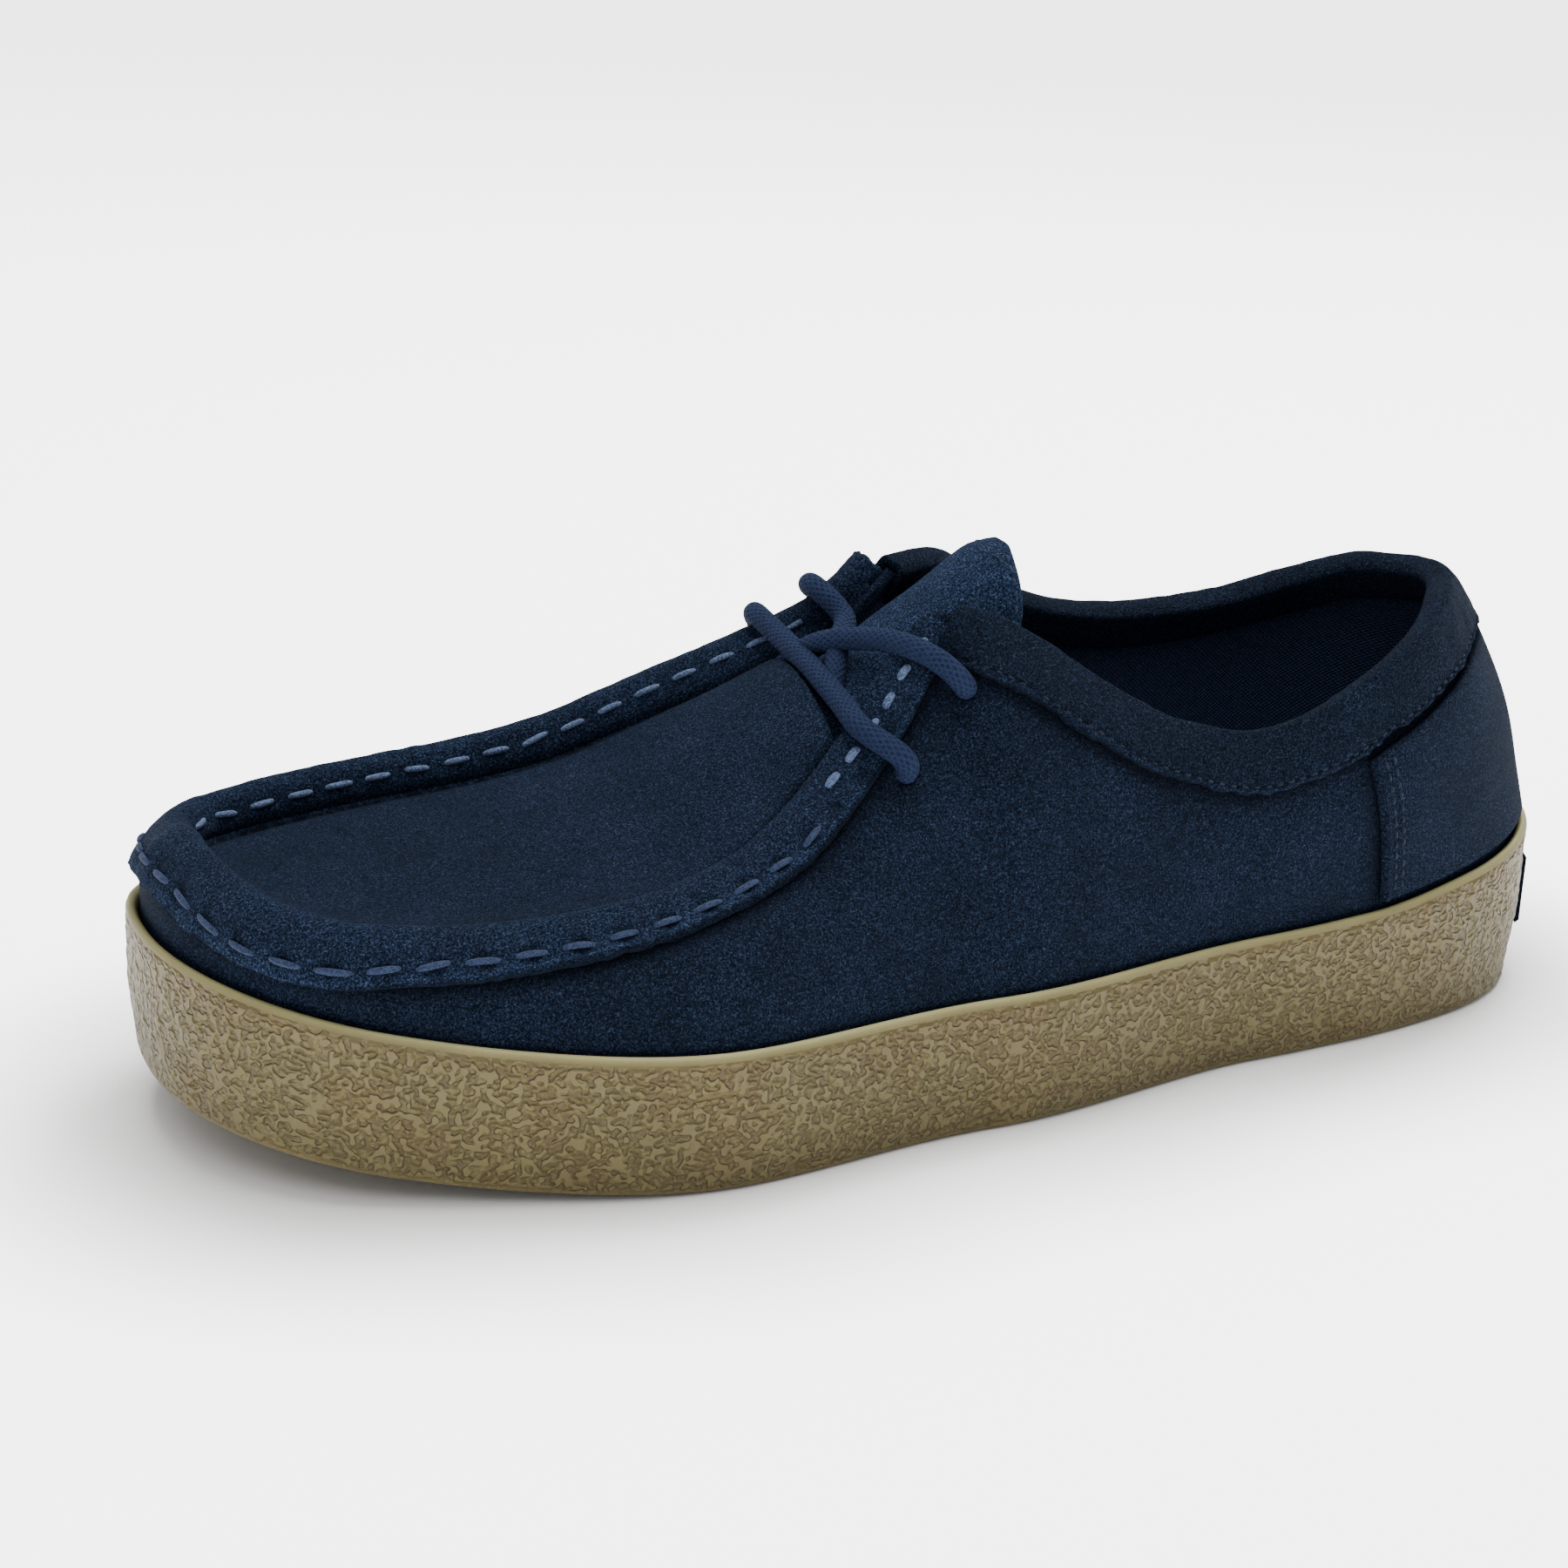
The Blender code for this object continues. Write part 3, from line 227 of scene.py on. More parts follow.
# Superellipse that closes the outline at one end.
def capShare(share, power):
    return (1 - (1 - np.clip(share, 0, 1)) ** power) ** (1 / power)


# Sideways place of the sole's centre line.
def centreLine(ray):
    return sole["centreShift"] + sole["centreBend"] * follow(soleTable, 1, ray)


# Half width of the sole before its ends are rounded.
def halfWidth(ray):
    ball = sole["ballWidth"] * follow(soleTable, 2, ray)
    waist = sole["waistWidth"] * follow(soleTable, 3, ray)
    heel = sole["heelWidth"] * follow(soleTable, 4, ray)
    return (ball + waist + heel) / 2


# Outline of the sole in plan at a signed place round it, negative on the lateral side.
def soleEdge(turn):
    turn = (np.asarray(turn, float) + 1) % 2 - 1
    ray = rayOf(turn)
    toe = capShare(ray * sole["length"] / sole["toeCapLength"], 2.3)
    heel = capShare((1 - ray) * sole["length"] / sole["heelCapLength"], 2.2)
    across = halfWidth(ray) * toe * heel
    return np.stack([(ray - 0.5) * sole["length"], centreLine(ray) + np.sign(turn) * across], -1)


# Outward direction of the outline in plan.
def edgeNormal(turn):
    small = 0.006
    along = soleEdge(turn + small) - soleEdge(turn - small)
    return unit(np.stack([-along[..., 1], along[..., 0]], -1))


# Height of the sole's underside over the floor: the toe spring.
def spring(x):
    start = sole["springLength"] - sole["length"] / 2
    return sole["toeSpring"] * np.clip((start - x) / sole["springLength"], 0, None) ** 2


# Points round the sole, moved in by an inset and set above its underside.
def ring(turn, inset, above):
    plan = soleEdge(turn) - edgeNormal(turn) * np.asarray(inset)[..., None]
    height = spring(plan[..., 0]) + above
    return np.concatenate([plan, height[..., None]], -1)


# Height of the side wall's top edge over the sole's underside.
def lipAbove(ray):
    toe, heel = follow(lipTable, 1, ray), follow(lipTable, 2, ray)
    return sole["sideHeight"] + sole["toeSideRise"] * toe + sole["heelSideRise"] * heel


# Height of the cup's inner floor over the sole's underside.
def floorAbove(ray):
    return sole["floorFore"] + (sole["floorHeel"] - sole["floorFore"]) * follow(floorTable, 1, ray)


# One column of the edge tables at a signed place, from the table of its own side.
def edgeColumn(turn, column, flat=True):
    ray = rayOf(turn)
    lateral = follow(lateralEdge, column, ray, flat)
    return np.where(np.asarray(turn) < 0, lateral, follow(medialEdge, column, ray, flat))


# Upper edge of the wall: the seam's groove, the throat's edge, then the collar.
def topEdge(turn):
    turn = (np.asarray(turn, float) + 1) % 2 - 1
    ray = rayOf(turn)
    x = (edgeColumn(turn, 1) - 0.5) * sole["length"]
    y = centreLine(ray) + np.sign(turn) * halfWidth(ray) * edgeColumn(turn, 2, flat=False)
    blend = np.clip((ray - 0.5) / 0.5, 0, 1)
    blend = blend * blend * (3 - 2 * blend)
    rise = edgeColumn(turn, 3) * (shell["instepRise"] * (1 - blend) + shell["heelRise"] * blend)
    capped = np.clip((ray - shell["stripTopRay"]) / (shell["collarStartRay"] - shell["stripTopRay"]), 0, 1)
    cap = (band["bandGap"] + band["bandThickness"]) * capped
    return np.stack([x, y, spring(x) + lipAbove(x / sole["length"] + 0.5) + rise - cap], -1)


# Outer face of the upper between the sole's lip (share 0) and the top edge (share 1).
def wallPoint(turn, share):
    turn = np.asarray(turn, float)
    share = np.asarray(share, float)
    wrapped = (turn + 1) % 2 - 1
    foot = ring(turn, sole["lipThickness"] + sole["gap"], lipAbove(rayOf(wrapped)) + sole["lipRound"] * 0.5)
    chord = topEdge(turn) - foot
    straight = unit(chord)
    normal = np.concatenate([edgeNormal(turn), np.zeros(turn.shape + (1,))], -1)
    out = unit(normal - straight * (normal * straight).sum(-1, keepdims=True))
    swell = edgeColumn(wrapped, 4)[..., None]
    bulge = shell["wallSwell"] * swell * np.sin(np.pi * share ** 1.1)[..., None]
    return foot + chord * share[..., None] + out * bulge


# Outer face of the apron from the lateral edge (share 0) to the medial edge (share 1).
def apronPoint(ray, share):
    turn = turnOf(ray)
    lateral, medial = topEdge(-turn), topEdge(turn)
    share = np.asarray(share, float)[..., None]
    crown = shell["apronCrown"] * follow(apronTable, 1, ray)[..., None] * 4 * share * (1 - share)
    return lateral * (1 - share) + medial * share + crown * np.array([0, 0, 1.0])


# Points and outward normals on the wall, reached by walking square off its top edge.
# The edge's direction at an end of a piece is read just inside first and last. The reaches
# are lengths, or shares of a width for each place; ease averages the directions over neighbours.
def walkDown(turns, reaches, first=-endTurn, last=endTurn, width=1.0, ease=0):
    small, settle, steps = 0.003, 0.02, 20
    place, share, reaches = np.array(turns, float), np.ones(len(turns)), np.array(reaches, float)
    near = np.clip(place, first + settle, last - settle)
    edge = wallPoint(near + small, share) - wallPoint(near - small, share)
    stride = reaches.max() / steps
    points, normals = [], []
    for _ in range(steps + 1):
        along = (wallPoint(place + small, share) - wallPoint(place - small, share)) / (2 * small)
        up = (wallPoint(place, share) - wallPoint(place, share - small)) / small
        normal = unit(np.cross(up, along))
        if not points:
            heading = np.cross(edge, normal)
            heading = unit(heading * -np.sign((heading * up).sum(1))[:, None])
            start = heading = unit(soften(heading, ease))
        heading = unit(heading - normal * (heading * normal).sum(1)[:, None])
        points.append(wallPoint(place, share))
        normals.append(normal)
        aa, ab, bb = (along ** 2).sum(1), (along * up).sum(1), (up ** 2).sum(1)
        ha, hb = (heading * along).sum(1), (heading * up).sum(1)
        whole = aa * bb - ab * ab
        place = place + stride * width * (ha * bb - hb * ab) / whole
        share = np.clip(share + stride * width * (hb * aa - ha * ab) / whole, 0.01, 1.0)
    points, normals = np.array(points), np.array(normals)
    at = np.clip(reaches / stride, 0, steps)
    low = np.minimum(at.astype(int), steps - 1)
    part = (at - low)[:, None, None]
    spots = points[low] * (1 - part) + points[low + 1] * part + start * np.minimum(reaches, 0)[:, None, None]
    facing = normals[low] * (1 - part) + normals[low + 1] * part
    return spots.transpose(1, 0, 2), facing.transpose(1, 0, 2)


# Places on the wall and normals there, below the throat's edge at shares of an eyelet's depth.
def eyeletSpots(side, number, shares=(1.0,)):
    turn = side * float(turnOf(shell["eyeletRays"][number]))
    spots, normals = walkDown([turn], np.array(shares) * shell["eyeletDepths"][number])
    return spots[0], normals[0]


# Places from a ray on the lateral side, round the heel, to the same ray on the medial side.
def heelTurns(ray, count):
    start = float(turnOf(ray))
    return np.linspace(start - 2, -start, count) + 2


# Random values at the corners of a cube lattice, blended smoothly between them, 0 to 1.
def latticeNoise(points, size, seed):
    place = points / size
    corner = np.floor(place).astype(np.int64)
    part = place - corner
    part = part * part * (3 - 2 * part)
    total = 0
    for step in range(8):
        offset = np.array([step & 1, step >> 1 & 1, step >> 2 & 1])
        key = ((corner + offset) * np.array([374761393, 668265263, 1442695041])).sum(-1) + seed * 144665
        key = (key ^ (key >> 13)) * 1274126177 & 0x7FFFFFFFFFFF
        value = (key ^ (key >> 16)) % 65521 / 65520
        total = total + value * np.where(offset, part, 1 - part).prod(-1)
    return total


# Lattice noise round 0, scaled to a height.
def lumps(points, size, seed, height):
    return (latticeNoise(points, size, seed) - 0.5) * height


# Unit normals of a grid of points: across its columns, then along its rows.
def gridNormals(grid, closed=False):
    if closed:
        return gridNormals(np.concatenate([grid[-2:], grid, grid[:2]]))[2:-2]
    return unit(np.cross(np.gradient(grid, axis=1), np.gradient(grid, axis=0)))


# A patch: a grid of points, and the faces between its neighbouring rows and columns.
def patchOf(grid, closedRows=False, closedColumns=False, flip=False):
    index = np.arange(grid.shape[0] * grid.shape[1]).reshape(grid.shape[:2])
    if closedRows:
        index = np.concatenate([index, index[:1]])
    if closedColumns:
        index = np.concatenate([index, index[:, :1]], 1)
    corners = [index[:-1, :-1], index[:-1, 1:], index[1:, 1:], index[1:, :-1]]
    faces = np.stack(corners, -1).reshape(-1, 4)
    return grid, faces[:, ::-1] if flip else faces


# A patch that fills a closed ring of points, in straight rows from one side to the other.
def fillRing(edge, count):
    half = len(edge) // 2
    across = np.arange(half + 1)
    share = np.linspace(0, 1, count)[None, :, None]
    one, other = edge[half - across][:, None], edge[(half + across) % len(edge)][:, None]
    return patchOf(one * (1 - share) + other * share)


# Patches that close the space between an outer and an inner grid of the same size.
def shellSolid(outer, inner):
    patches = [patchOf(np.concatenate([outer, inner[:, ::-1]], 1), closedColumns=True)]
    return patches + [patchOf(np.stack([outer[row], inner[row]])) for row in (0, -1)]


# Values for the outer grid of such a solid, laid on its inner grid too.
def bothFaces(values):
    return np.concatenate([values, values[:, ::-1]], 1)


# A smooth mesh from patches, with named masks, filled up with zeros, and a UV map on its points.
# The weld closes its seams and poles, and its faces are turned outwards.
def makeMesh(name, patches, masks=None, weld=0.01 * mm, uv=None):
    starts = np.cumsum([0] + [grid.size // 3 for grid, _ in patches])
    points = np.concatenate([grid.reshape(-1, 3) for grid, _ in patches])
    faces = np.concatenate([corners + start for (_, corners), start in zip(patches, starts)])
    mesh = bpy.data.meshes.new(name)
    mesh.vertices.add(len(points))
    mesh.vertices.foreach_set("co", points.astype(np.float32).ravel())
    mesh.loops.add(faces.size)
    mesh.loops.foreach_set("vertex_index", faces.astype(np.int32).ravel())
    mesh.polygons.add(len(faces))
    mesh.polygons.foreach_set("loop_start", np.arange(0, faces.size, 4, dtype=np.int32))
    for key, values in (masks or {}).items():
        filled = np.zeros(len(points), np.float32)
        filled[:values.size] = values.ravel()
        mesh.attributes.new(key, "FLOAT", "POINT").data.foreach_set("value", filled)
    if uv is not None:
        mesh.uv_layers.new(name="braid").data.foreach_set("uv", uv[faces].astype(np.float32).ravel())
    mesh.update(calc_edges=True)
    build = bmesh.new()
    build.from_mesh(mesh)
    bmesh.ops.remove_doubles(build, verts=build.verts, dist=weld)
    bmesh.ops.dissolve_degenerate(build, dist=weld / 10, edges=build.edges)
    bmesh.ops.recalc_face_normals(build, faces=build.faces)
    build.to_mesh(mesh)
    build.free()
    mesh.validate()
    mesh.polygons.foreach_set("use_smooth", np.ones(len(mesh.polygons), bool))
    return mesh


def addObject(name, data):
    thing = bpy.data.objects.new(name, data)
    bpy.context.scene.collection.objects.link(thing)
    return thing


# Puts a piece in the scene in place of CAD nodes, shaped further where a function is given.
def addPiece(name, patches, materials, slot, replaced=(), shape=None, **settings):
    piece = addObject(name, makeMesh(name, patches, **settings))
    for material in materials:
        piece.data.materials.append(material)
    if shape:
        shape(piece)
    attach(piece, "root")
    if replaced:
        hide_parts(*replaced)
    print("piece", name, len(piece.data.polygons), "faces")
    return piece


# Places at an even pitch along a line of points, with the line's direction and the normals there.
def placesAlong(line, normals, pitch, margin):
    length = runAlong(line)
    room = length[-1] - 2 * margin
    count = int(room / pitch) + 1
    at = margin + room * (np.arange(count) + 0.5) / count

    def read(values, where):
        return np.stack([np.interp(where, length, values[:, k]) for k in range(3)], -1)

    tangent = unit(read(line, at + pitch * 0.2) - read(line, at - pitch * 0.2))
    normal = read(normals, at)
    return read(line, at), tangent, unit(normal - tangent * (normal * tangent).sum(1)[:, None])


# Stitches as small spindles: a circle whose radius swells and closes along each one.
def stitchPatch(places, length, radius, rise=0.4, seed=3):
    centre, tangent, normal = places
    side = np.cross(normal, tangent)
    along = np.linspace(-1, 1, 9)
    angle = np.arange(8) * math.pi / 4
    swell = radius * ((1 - np.abs(along) ** 3) ** 0.6)[:, None]
    chance = np.random.default_rng(seed)
    turn = chance.normal(0, 0.05, len(centre))[:, None]
    size = 1 + chance.normal(0, 0.06, len(centre))[:, None, None, None]
    run = tangent * np.cos(turn) + side * np.sin(turn)
    cross = side * np.cos(turn) - tangent * np.sin(turn)
    sink = (rise - 1.2 * np.abs(along) ** 2.5) * radius
    points = (
        centre[:, None, None]
        + run[:, None, None] * (along * length / 2)[None, :, None, None] * size
        + cross[:, None, None] * (swell * np.cos(angle))[None, :, :, None]
        + normal[:, None, None] * (swell * np.sin(angle) * 0.8 + sink[:, None])[None, :, :, None]
    )
    one = patchOf(points[0], closedColumns=True, flip=True)[1]
    offsets = np.arange(len(centre))[:, None, None] * points[0].size // 3
    return points, (one[None] + offsets).reshape(-1, 4)


# Round tube along a path: circles square to the path, turned as little as possible from one to the next.
def tubeGrid(path, radius, sides):
    tangent = unit(np.gradient(path, axis=0))
    first = np.cross(tangent[0], [0.3, 0.1, 0.9])
    frames = []
    for direction in tangent:
        first = unit(first - direction * (first @ direction))
        frames.append(first)
    frames = np.array(frames)
    other = np.cross(tangent, frames)
    angle = (np.arange(sides) * 2 * math.pi / sides)[None, :, None]
    return path[:, None] + (frames[:, None] * np.cos(angle) + other[:, None] * np.sin(angle)) * radius


# Adds a node; inputs are given by name or number, as values or as other nodes' sockets.
def addNode(tree, kind, inputs=None, **settings):
    node = tree.nodes.new("ShaderNode" + kind)
    for key, value in settings.items():
        setattr(node, key, value)
    for key, value in (inputs or {}).items():
        if isinstance(value, bpy.types.NodeSocket):
            tree.links.new(value, node.inputs[key])
        else:
            node.inputs[key].default_value = value
    return node


# Result of one math operation.
def calc(tree, operation, *values):
    return addNode(tree, "Math", dict(enumerate(values)), operation=operation).outputs[0]


# Result of one operation on vectors or colours.
def calcVector(tree, operation, *values):
    return addNode(tree, "VectorMath", dict(enumerate(values)), operation=operation).outputs[0]


# Goes smoothly from 0 to 1 as a value passes from low to high.
def nodeFade(tree, value, low, high):
    inputs = {0: value, 1: low, 2: high}
    return addNode(tree, "MapRange", inputs, interpolation_type="SMOOTHSTEP").outputs[0]


def addNoise(tree, place, scale, detail):
    return addNode(tree, "TexNoise", {"Vector": place, "Scale": scale, "Detail": detail}).outputs


def readMask(tree, name):
    return addNode(tree, "Attribute", attribute_name=name).outputs["Fac"]


def mixColour(tree, factor, first, second):
    first, second = ((*tone, 1.0) if isinstance(tone, tuple) else tone for tone in (first, second))
    return addNode(tree, "Mix", {0: factor, 6: first, 7: second}, data_type="RGBA").outputs[2]


# Starts a shader node group that takes a place and two numbers.
def startGroup(name, first, second):
    tree = bpy.data.node_groups.new(name, "ShaderNodeTree")
    for label, kind in (("Vector", "Vector"), (first, "Float"), (second, "Float")):
        tree.interface.new_socket(label, in_out="INPUT", socket_type="NodeSocket" + kind)
    return (tree, *tree.nodes.new("NodeGroupInput").outputs[:3])


# Ends a node group with its named results.
def endGroup(tree, results):
    for label in results:
        tree.interface.new_socket(label, in_out="OUTPUT", socket_type="NodeSocketFloat")
    out = tree.nodes.new("NodeGroupOutput")
    for label, socket in results.items():
        tree.links.new(socket, out.inputs[label])
    return tree


# Nap: noise at the fibre size and a finer one, with bright flecks where both are high.
def makeNapGroup():
    tree, place, size, contrast = startGroup("nap", "Size", "Contrast")
    scale = calc(tree, "DIVIDE", 1.0, size)
    coarse = addNoise(tree, place, scale, 2.0)[0]
    fine = addNoise(tree, place, calc(tree, "MULTIPLY", 2.3, scale), 1.0)[0]
    both = calc(tree, "ADD", coarse, fine)
    tone = calc(tree, "MULTIPLY_ADD", calc(tree, "ADD", both, -1.0), contrast, 0.5)
    fleck = addNode(tree, "MapRange", {0: both, 1: 1.14, 2: 1.34}).outputs[0]
    return endGroup(tree, {"Tone": tone, "Fleck": fleck, "Height": both})


# Blotches: broad soft noise, put out as a factor round 1.
def makeBlotchGroup():
    tree, place, size, amount = startGroup("blotches", "Size", "Amount")
    noise = addNoise(tree, place, calc(tree, "DIVIDE", 1.0, size), 3.0)[0]
    return endGroup(tree, {"Factor": calc(tree, "MULTIPLY_ADD", calc(tree, "ADD", noise, -0.5), amount, 1.0)})


# Crepe: worm-like grooves where a warped noise crosses its middle, broken where a second noise is
# low; height rises in round swells between the grooves.
def makeGrainGroup():
    tree, place, size, warp = startGroup("crepeGrain", "Size", "Warp")
    scale = calc(tree, "DIVIDE", 1.0, size)
    wander = addNoise(tree, place, calc(tree, "MULTIPLY", 0.6, scale), 1.0)["Color"]
    centred = calcVector(tree, "ADD", wander, (-0.5, -0.5, -0.5))
    pushed = addNode(tree, "VectorMath", {0: centred}, operation="SCALE")
    tree.links.new(warp, pushed.inputs["Scale"])
    moved = calcVector(tree, "ADD", place, pushed.outputs[0])
    body = addNoise(tree, calcVector(tree, "MULTIPLY", moved, (1.0, 1.0, 1.35)), scale, 0.5)[0]
    middle = calc(tree, "ABSOLUTE", calc(tree, "ADD", body, -0.5))
    breaks = nodeFade(tree, addNoise(tree, place, calc(tree, "MULTIPLY", 1.4, scale), 0.0)[0], 0.38, 0.54)
    pit = calc(tree, "MULTIPLY", nodeFade(tree, middle, 0.09, 0.0), breaks)
    sunk = calc(tree, "MULTIPLY", nodeFade(tree, middle, 0.27, 0.0), breaks)
    return endGroup(tree, {"Pit": pit, "Height": calc(tree, "SUBTRACT", 1.0, sunk)})


napGroup, blotchGroup, grainGroup = makeNapGroup(), makeBlotchGroup(), makeGrainGroup()


def addNap(tree, place, size, contrast):
    given = {"Vector": place, "Size": size, "Contrast": contrast}
    return addNode(tree, "Group", given, node_tree=napGroup).outputs


# Colour times a factor, and times blotches of a look's size and amount.
def blotched(tree, place, look, colour, factor):
    given = {"Vector": place, "Size": look["blotch"], "Amount": look["blotchAmount"]}
    blotch = addNode(tree, "Group", given, node_tree=blotchGroup).outputs[0]
    return calcVector(tree, "MULTIPLY", colour, calc(tree, "MULTIPLY", factor, blotch))


def startMaterial(name, roughness, specular, sheen=0.0, sheenTint=(1, 1, 1)):
    material = bpy.data.materials.new(name)
    material.use_nodes = True
    tree = material.node_tree
    tree.nodes.clear()
    shader = addNode(tree, "BsdfPrincipled", {
        "Roughness": roughness, "Specular IOR Level": specular, "Sheen Weight": sheen,
        "Sheen Roughness": 0.5, "Sheen Tint": (*sheenTint, 1.0)})
    addNode(tree, "OutputMaterial", {"Surface": shader.outputs[0]})
    return material, tree, shader.inputs, addNode(tree, "TexCoord").outputs["Object"]


# Ends a material with its colour, and a bump of a height over a distance.
def endMaterial(material, inputs, colour, height, distance):
    tree = material.node_tree
    tree.links.new(colour, inputs["Base Color"])
    bump = addNode(tree, "Bump", {"Height": height, "Distance": distance, "Strength": 1.0})
    tree.links.new(bump.outputs[0], inputs["Normal"])
    return material


# Suede: dark fibres, lighter tips and flecks over broad blotches; the shade mask paints shade into grooves,
# under edges and in hollows, and paints light where it is below 0.
suedeLook = {
    "dark": (0.0004, 0.0013, 0.0038), "light": (0.0068, 0.0122, 0.0262), "fleck": (0.040, 0.062, 0.112),
    "fibre": 0.42 * mm, "contrast": 4.0, "fleckAmount": 0.55, "blotch": 14 * mm, "blotchAmount": 0.75,
    "bump": 0.35 * mm,
}


def makeSuede(name, brightness=1.0):
    material, tree, inputs, place = startMaterial(name, 0.95, 0.04, sheen=0.012, sheenTint=(0.4, 0.6, 1.0))
    tone, fleck, height = addNap(tree, place, suedeLook["fibre"], suedeLook["contrast"])
    colour = mixColour(tree, tone, suedeLook["dark"], suedeLook["light"])
    flecks = calc(tree, "MULTIPLY", fleck, suedeLook["fleckAmount"])
    colour = mixColour(tree, flecks, colour, suedeLook["fleck"])
    # Painted light and shade: one less the shade mask scales the colour.
    light = calc(tree, "SUBTRACT", 1.0, readMask(tree, "shade"))
    colour = blotched(tree, place, suedeLook, colour, calc(tree, "MULTIPLY", light, brightness))
    return endMaterial(material, inputs, colour, height, suedeLook["bump"])


# Lining cloth: fine crossed ribs, from two sine waves over the place.
liningLook = {
    "dark": (0.011, 0.016, 0.035), "light": (0.036, 0.052, 0.105), "pitchAlong": 1.1 * mm,
    "pitchUp": 0.9 * mm, "fibre": 0.7 * mm, "bump": 0.15 * mm,
}


def makeLining(name):
    material, tree, inputs, place = startMaterial(name, 0.95, 0.08, sheen=0.01, sheenTint=(0.5, 0.6, 1.0))
    x, _, z = addNode(tree, "SeparateXYZ", {0: place}).outputs
    pitches = ((x, liningLook["pitchAlong"]), (z, liningLook["pitchUp"]))
    waves = [calc(tree, "SINE", calc(tree, "MULTIPLY", part, 2 * math.pi / pitch)) for part, pitch in pitches]
    weave = calc(tree, "MULTIPLY", *waves)
    tone = calc(tree, "MULTIPLY_ADD", weave, 0.2, addNap(tree, place, liningLook["fibre"], 1.4)[0])
    colour = mixColour(tree, tone, liningLook["dark"], liningLook["light"])
    return endMaterial(material, inputs, colour, weave, liningLook["bump"])


# Crepe rubber: cream on the raised grain, orange tan in the patches, darker orange tan in the pits (the
# rubber's own tone with painted shade), and a painted highlight along the lip's top edge.
crepeLook = {
    "grain": (0.096, 0.077, 0.027), "pit": (0.054, 0.035, 0.011), "lip": (0.205, 0.190, 0.084),
    "rim": (0.112, 0.084, 0.030), "warm": (0.092, 0.064, 0.021), "size": 1.9 * mm, "warp": 1.0 * mm,
    "relief": 0.8 * mm, "fibre": 0.7 * mm, "blotch": 13 * mm, "blotchAmount": 0.35,
}


def makeCrepe(name):
    material, tree, inputs, place = startMaterial(name, 0.55, 0.3)
    given = {"Vector": place, "Size": crepeLook["size"], "Warp": crepeLook["warp"]}
    pit, height = addNode(tree, "Group", given, node_tree=grainGroup).outputs
    clear = readMask(tree, "grain")
    # The lip mask lays a painted highlight on the top of the lip.
    colour = mixColour(tree, readMask(tree, "lip"), crepeLook["grain"], crepeLook["lip"])
    colour = mixColour(tree, readMask(tree, "warm"), colour, crepeLook["warm"])
    # Pits: the rubber's orange tone darkened by painted shade.
    colour = mixColour(tree, calc(tree, "MULTIPLY", pit, clear), colour, crepeLook["pit"])
    colour = mixColour(tree, readMask(tree, "rim"), colour, crepeLook["rim"])
    tone = calc(tree, "MULTIPLY_ADD", addNap(tree, place, crepeLook["fibre"], 0.9)[0], 0.16, 0.92)
    colour = blotched(tree, place, crepeLook, colour, tone)
    return endMaterial(material, inputs, colour, calc(tree, "MULTIPLY", height, clear), crepeLook["relief"])


# Gum rubber of the tread: brown, darker in the low places.
gumLook = {
    "low": (0.075, 0.046, 0.014), "high": (0.150, 0.104, 0.042), "fibre": 1.4 * mm, "blotch": 20 * mm,
    "blotchAmount": 0.3, "bump": 0.08 * mm,
}


def makeGum(name):
    material, tree, inputs, place = startMaterial(name, 0.5, 0.35)
    tone, _, height = addNap(tree, place, gumLook["fibre"], 0.8)
    colour = mixColour(tree, readMask(tree, "height"), gumLook["low"], gumLook["high"])
    tone = calc(tree, "MULTIPLY_ADD", tone, 0.14, 0.93)
    colour = blotched(tree, place, gumLook, colour, tone)
    return endMaterial(material, inputs, colour, height, gumLook["bump"])


# Thread: two tones of fine noise.
def makeThread(name, dark, light):
    material, tree, inputs, place = startMaterial(name, 0.8, 0.15, sheen=0.02)
    tone, _, height = addNap(tree, place, 0.5 * mm, 2.2)
    return endMaterial(material, inputs, mixColour(tree, tone, dark, light), height, 0.2 * mm)


# Braid: two families of strands that wind opposite ways round the lace, read from its UV map.
braidLook = {
    "dark": (0.0042, 0.0076, 0.0198), "light": (0.0125, 0.0196, 0.0478), "strands": 12.0, "slant": 1.4,
    "fibre": 0.6 * mm, "bump": 0.15 * mm,
}


def makeBraid(name):
    material, tree, inputs, place = startMaterial(name, 0.9, 0.05, sheen=0.01, sheenTint=(0.4, 0.6, 1.0))
    spot = addNode(tree, "UVMap", uv_map="braid").outputs[0]
    around, along, _ = addNode(tree, "SeparateXYZ", {0: spot}).outputs
    strands = []
    for way in (1, -1):
        slant = calc(tree, "MULTIPLY", along, way * braidLook["slant"])
        phase = calc(tree, "MULTIPLY_ADD", around, braidLook["strands"], slant)
        strands.append(calc(tree, "SINE", calc(tree, "MULTIPLY", phase, 2 * math.pi)))
    braid = calc(tree, "MAXIMUM", *strands)
    tone = calc(tree, "MULTIPLY_ADD", braid, 0.35, addNap(tree, place, braidLook["fibre"], 1.2)[0])
    colour = mixColour(tree, tone, braidLook["dark"], braidLook["light"])
    return endMaterial(material, inputs, colour, braid, braidLook["bump"])


suede = makeSuede("navySuede")
# Lit and shaded copies of the suede paint light and shade: the band darker, the tongue and the seam roll
# lighter.
shadedBandSuede = makeSuede("bandSuedeShaded", 0.82)
litTongueSuede = makeSuede("tongueSuedeLit", 2.3)
litSeamSuede = makeSuede("seamSuedeLit", 1.5)
patchCloth = makeSuede("heelPatchCloth", 0.5)
lining = makeLining("liningCloth")
crepe = makeCrepe("crepeRubber")
gum = makeGum("gumRubber")
thickThread = makeThread("seamThread", (0.006, 0.011, 0.028), (0.022, 0.036, 0.080))
paleThread = makeThread("throatThread", (0.020, 0.032, 0.068), (0.085, 0.120, 0.210))
fineThread = makeThread("fineThread", (0.003, 0.005, 0.012), (0.012, 0.019, 0.038))
braidCloth = makeBraid("braidCloth")
print("materials made")


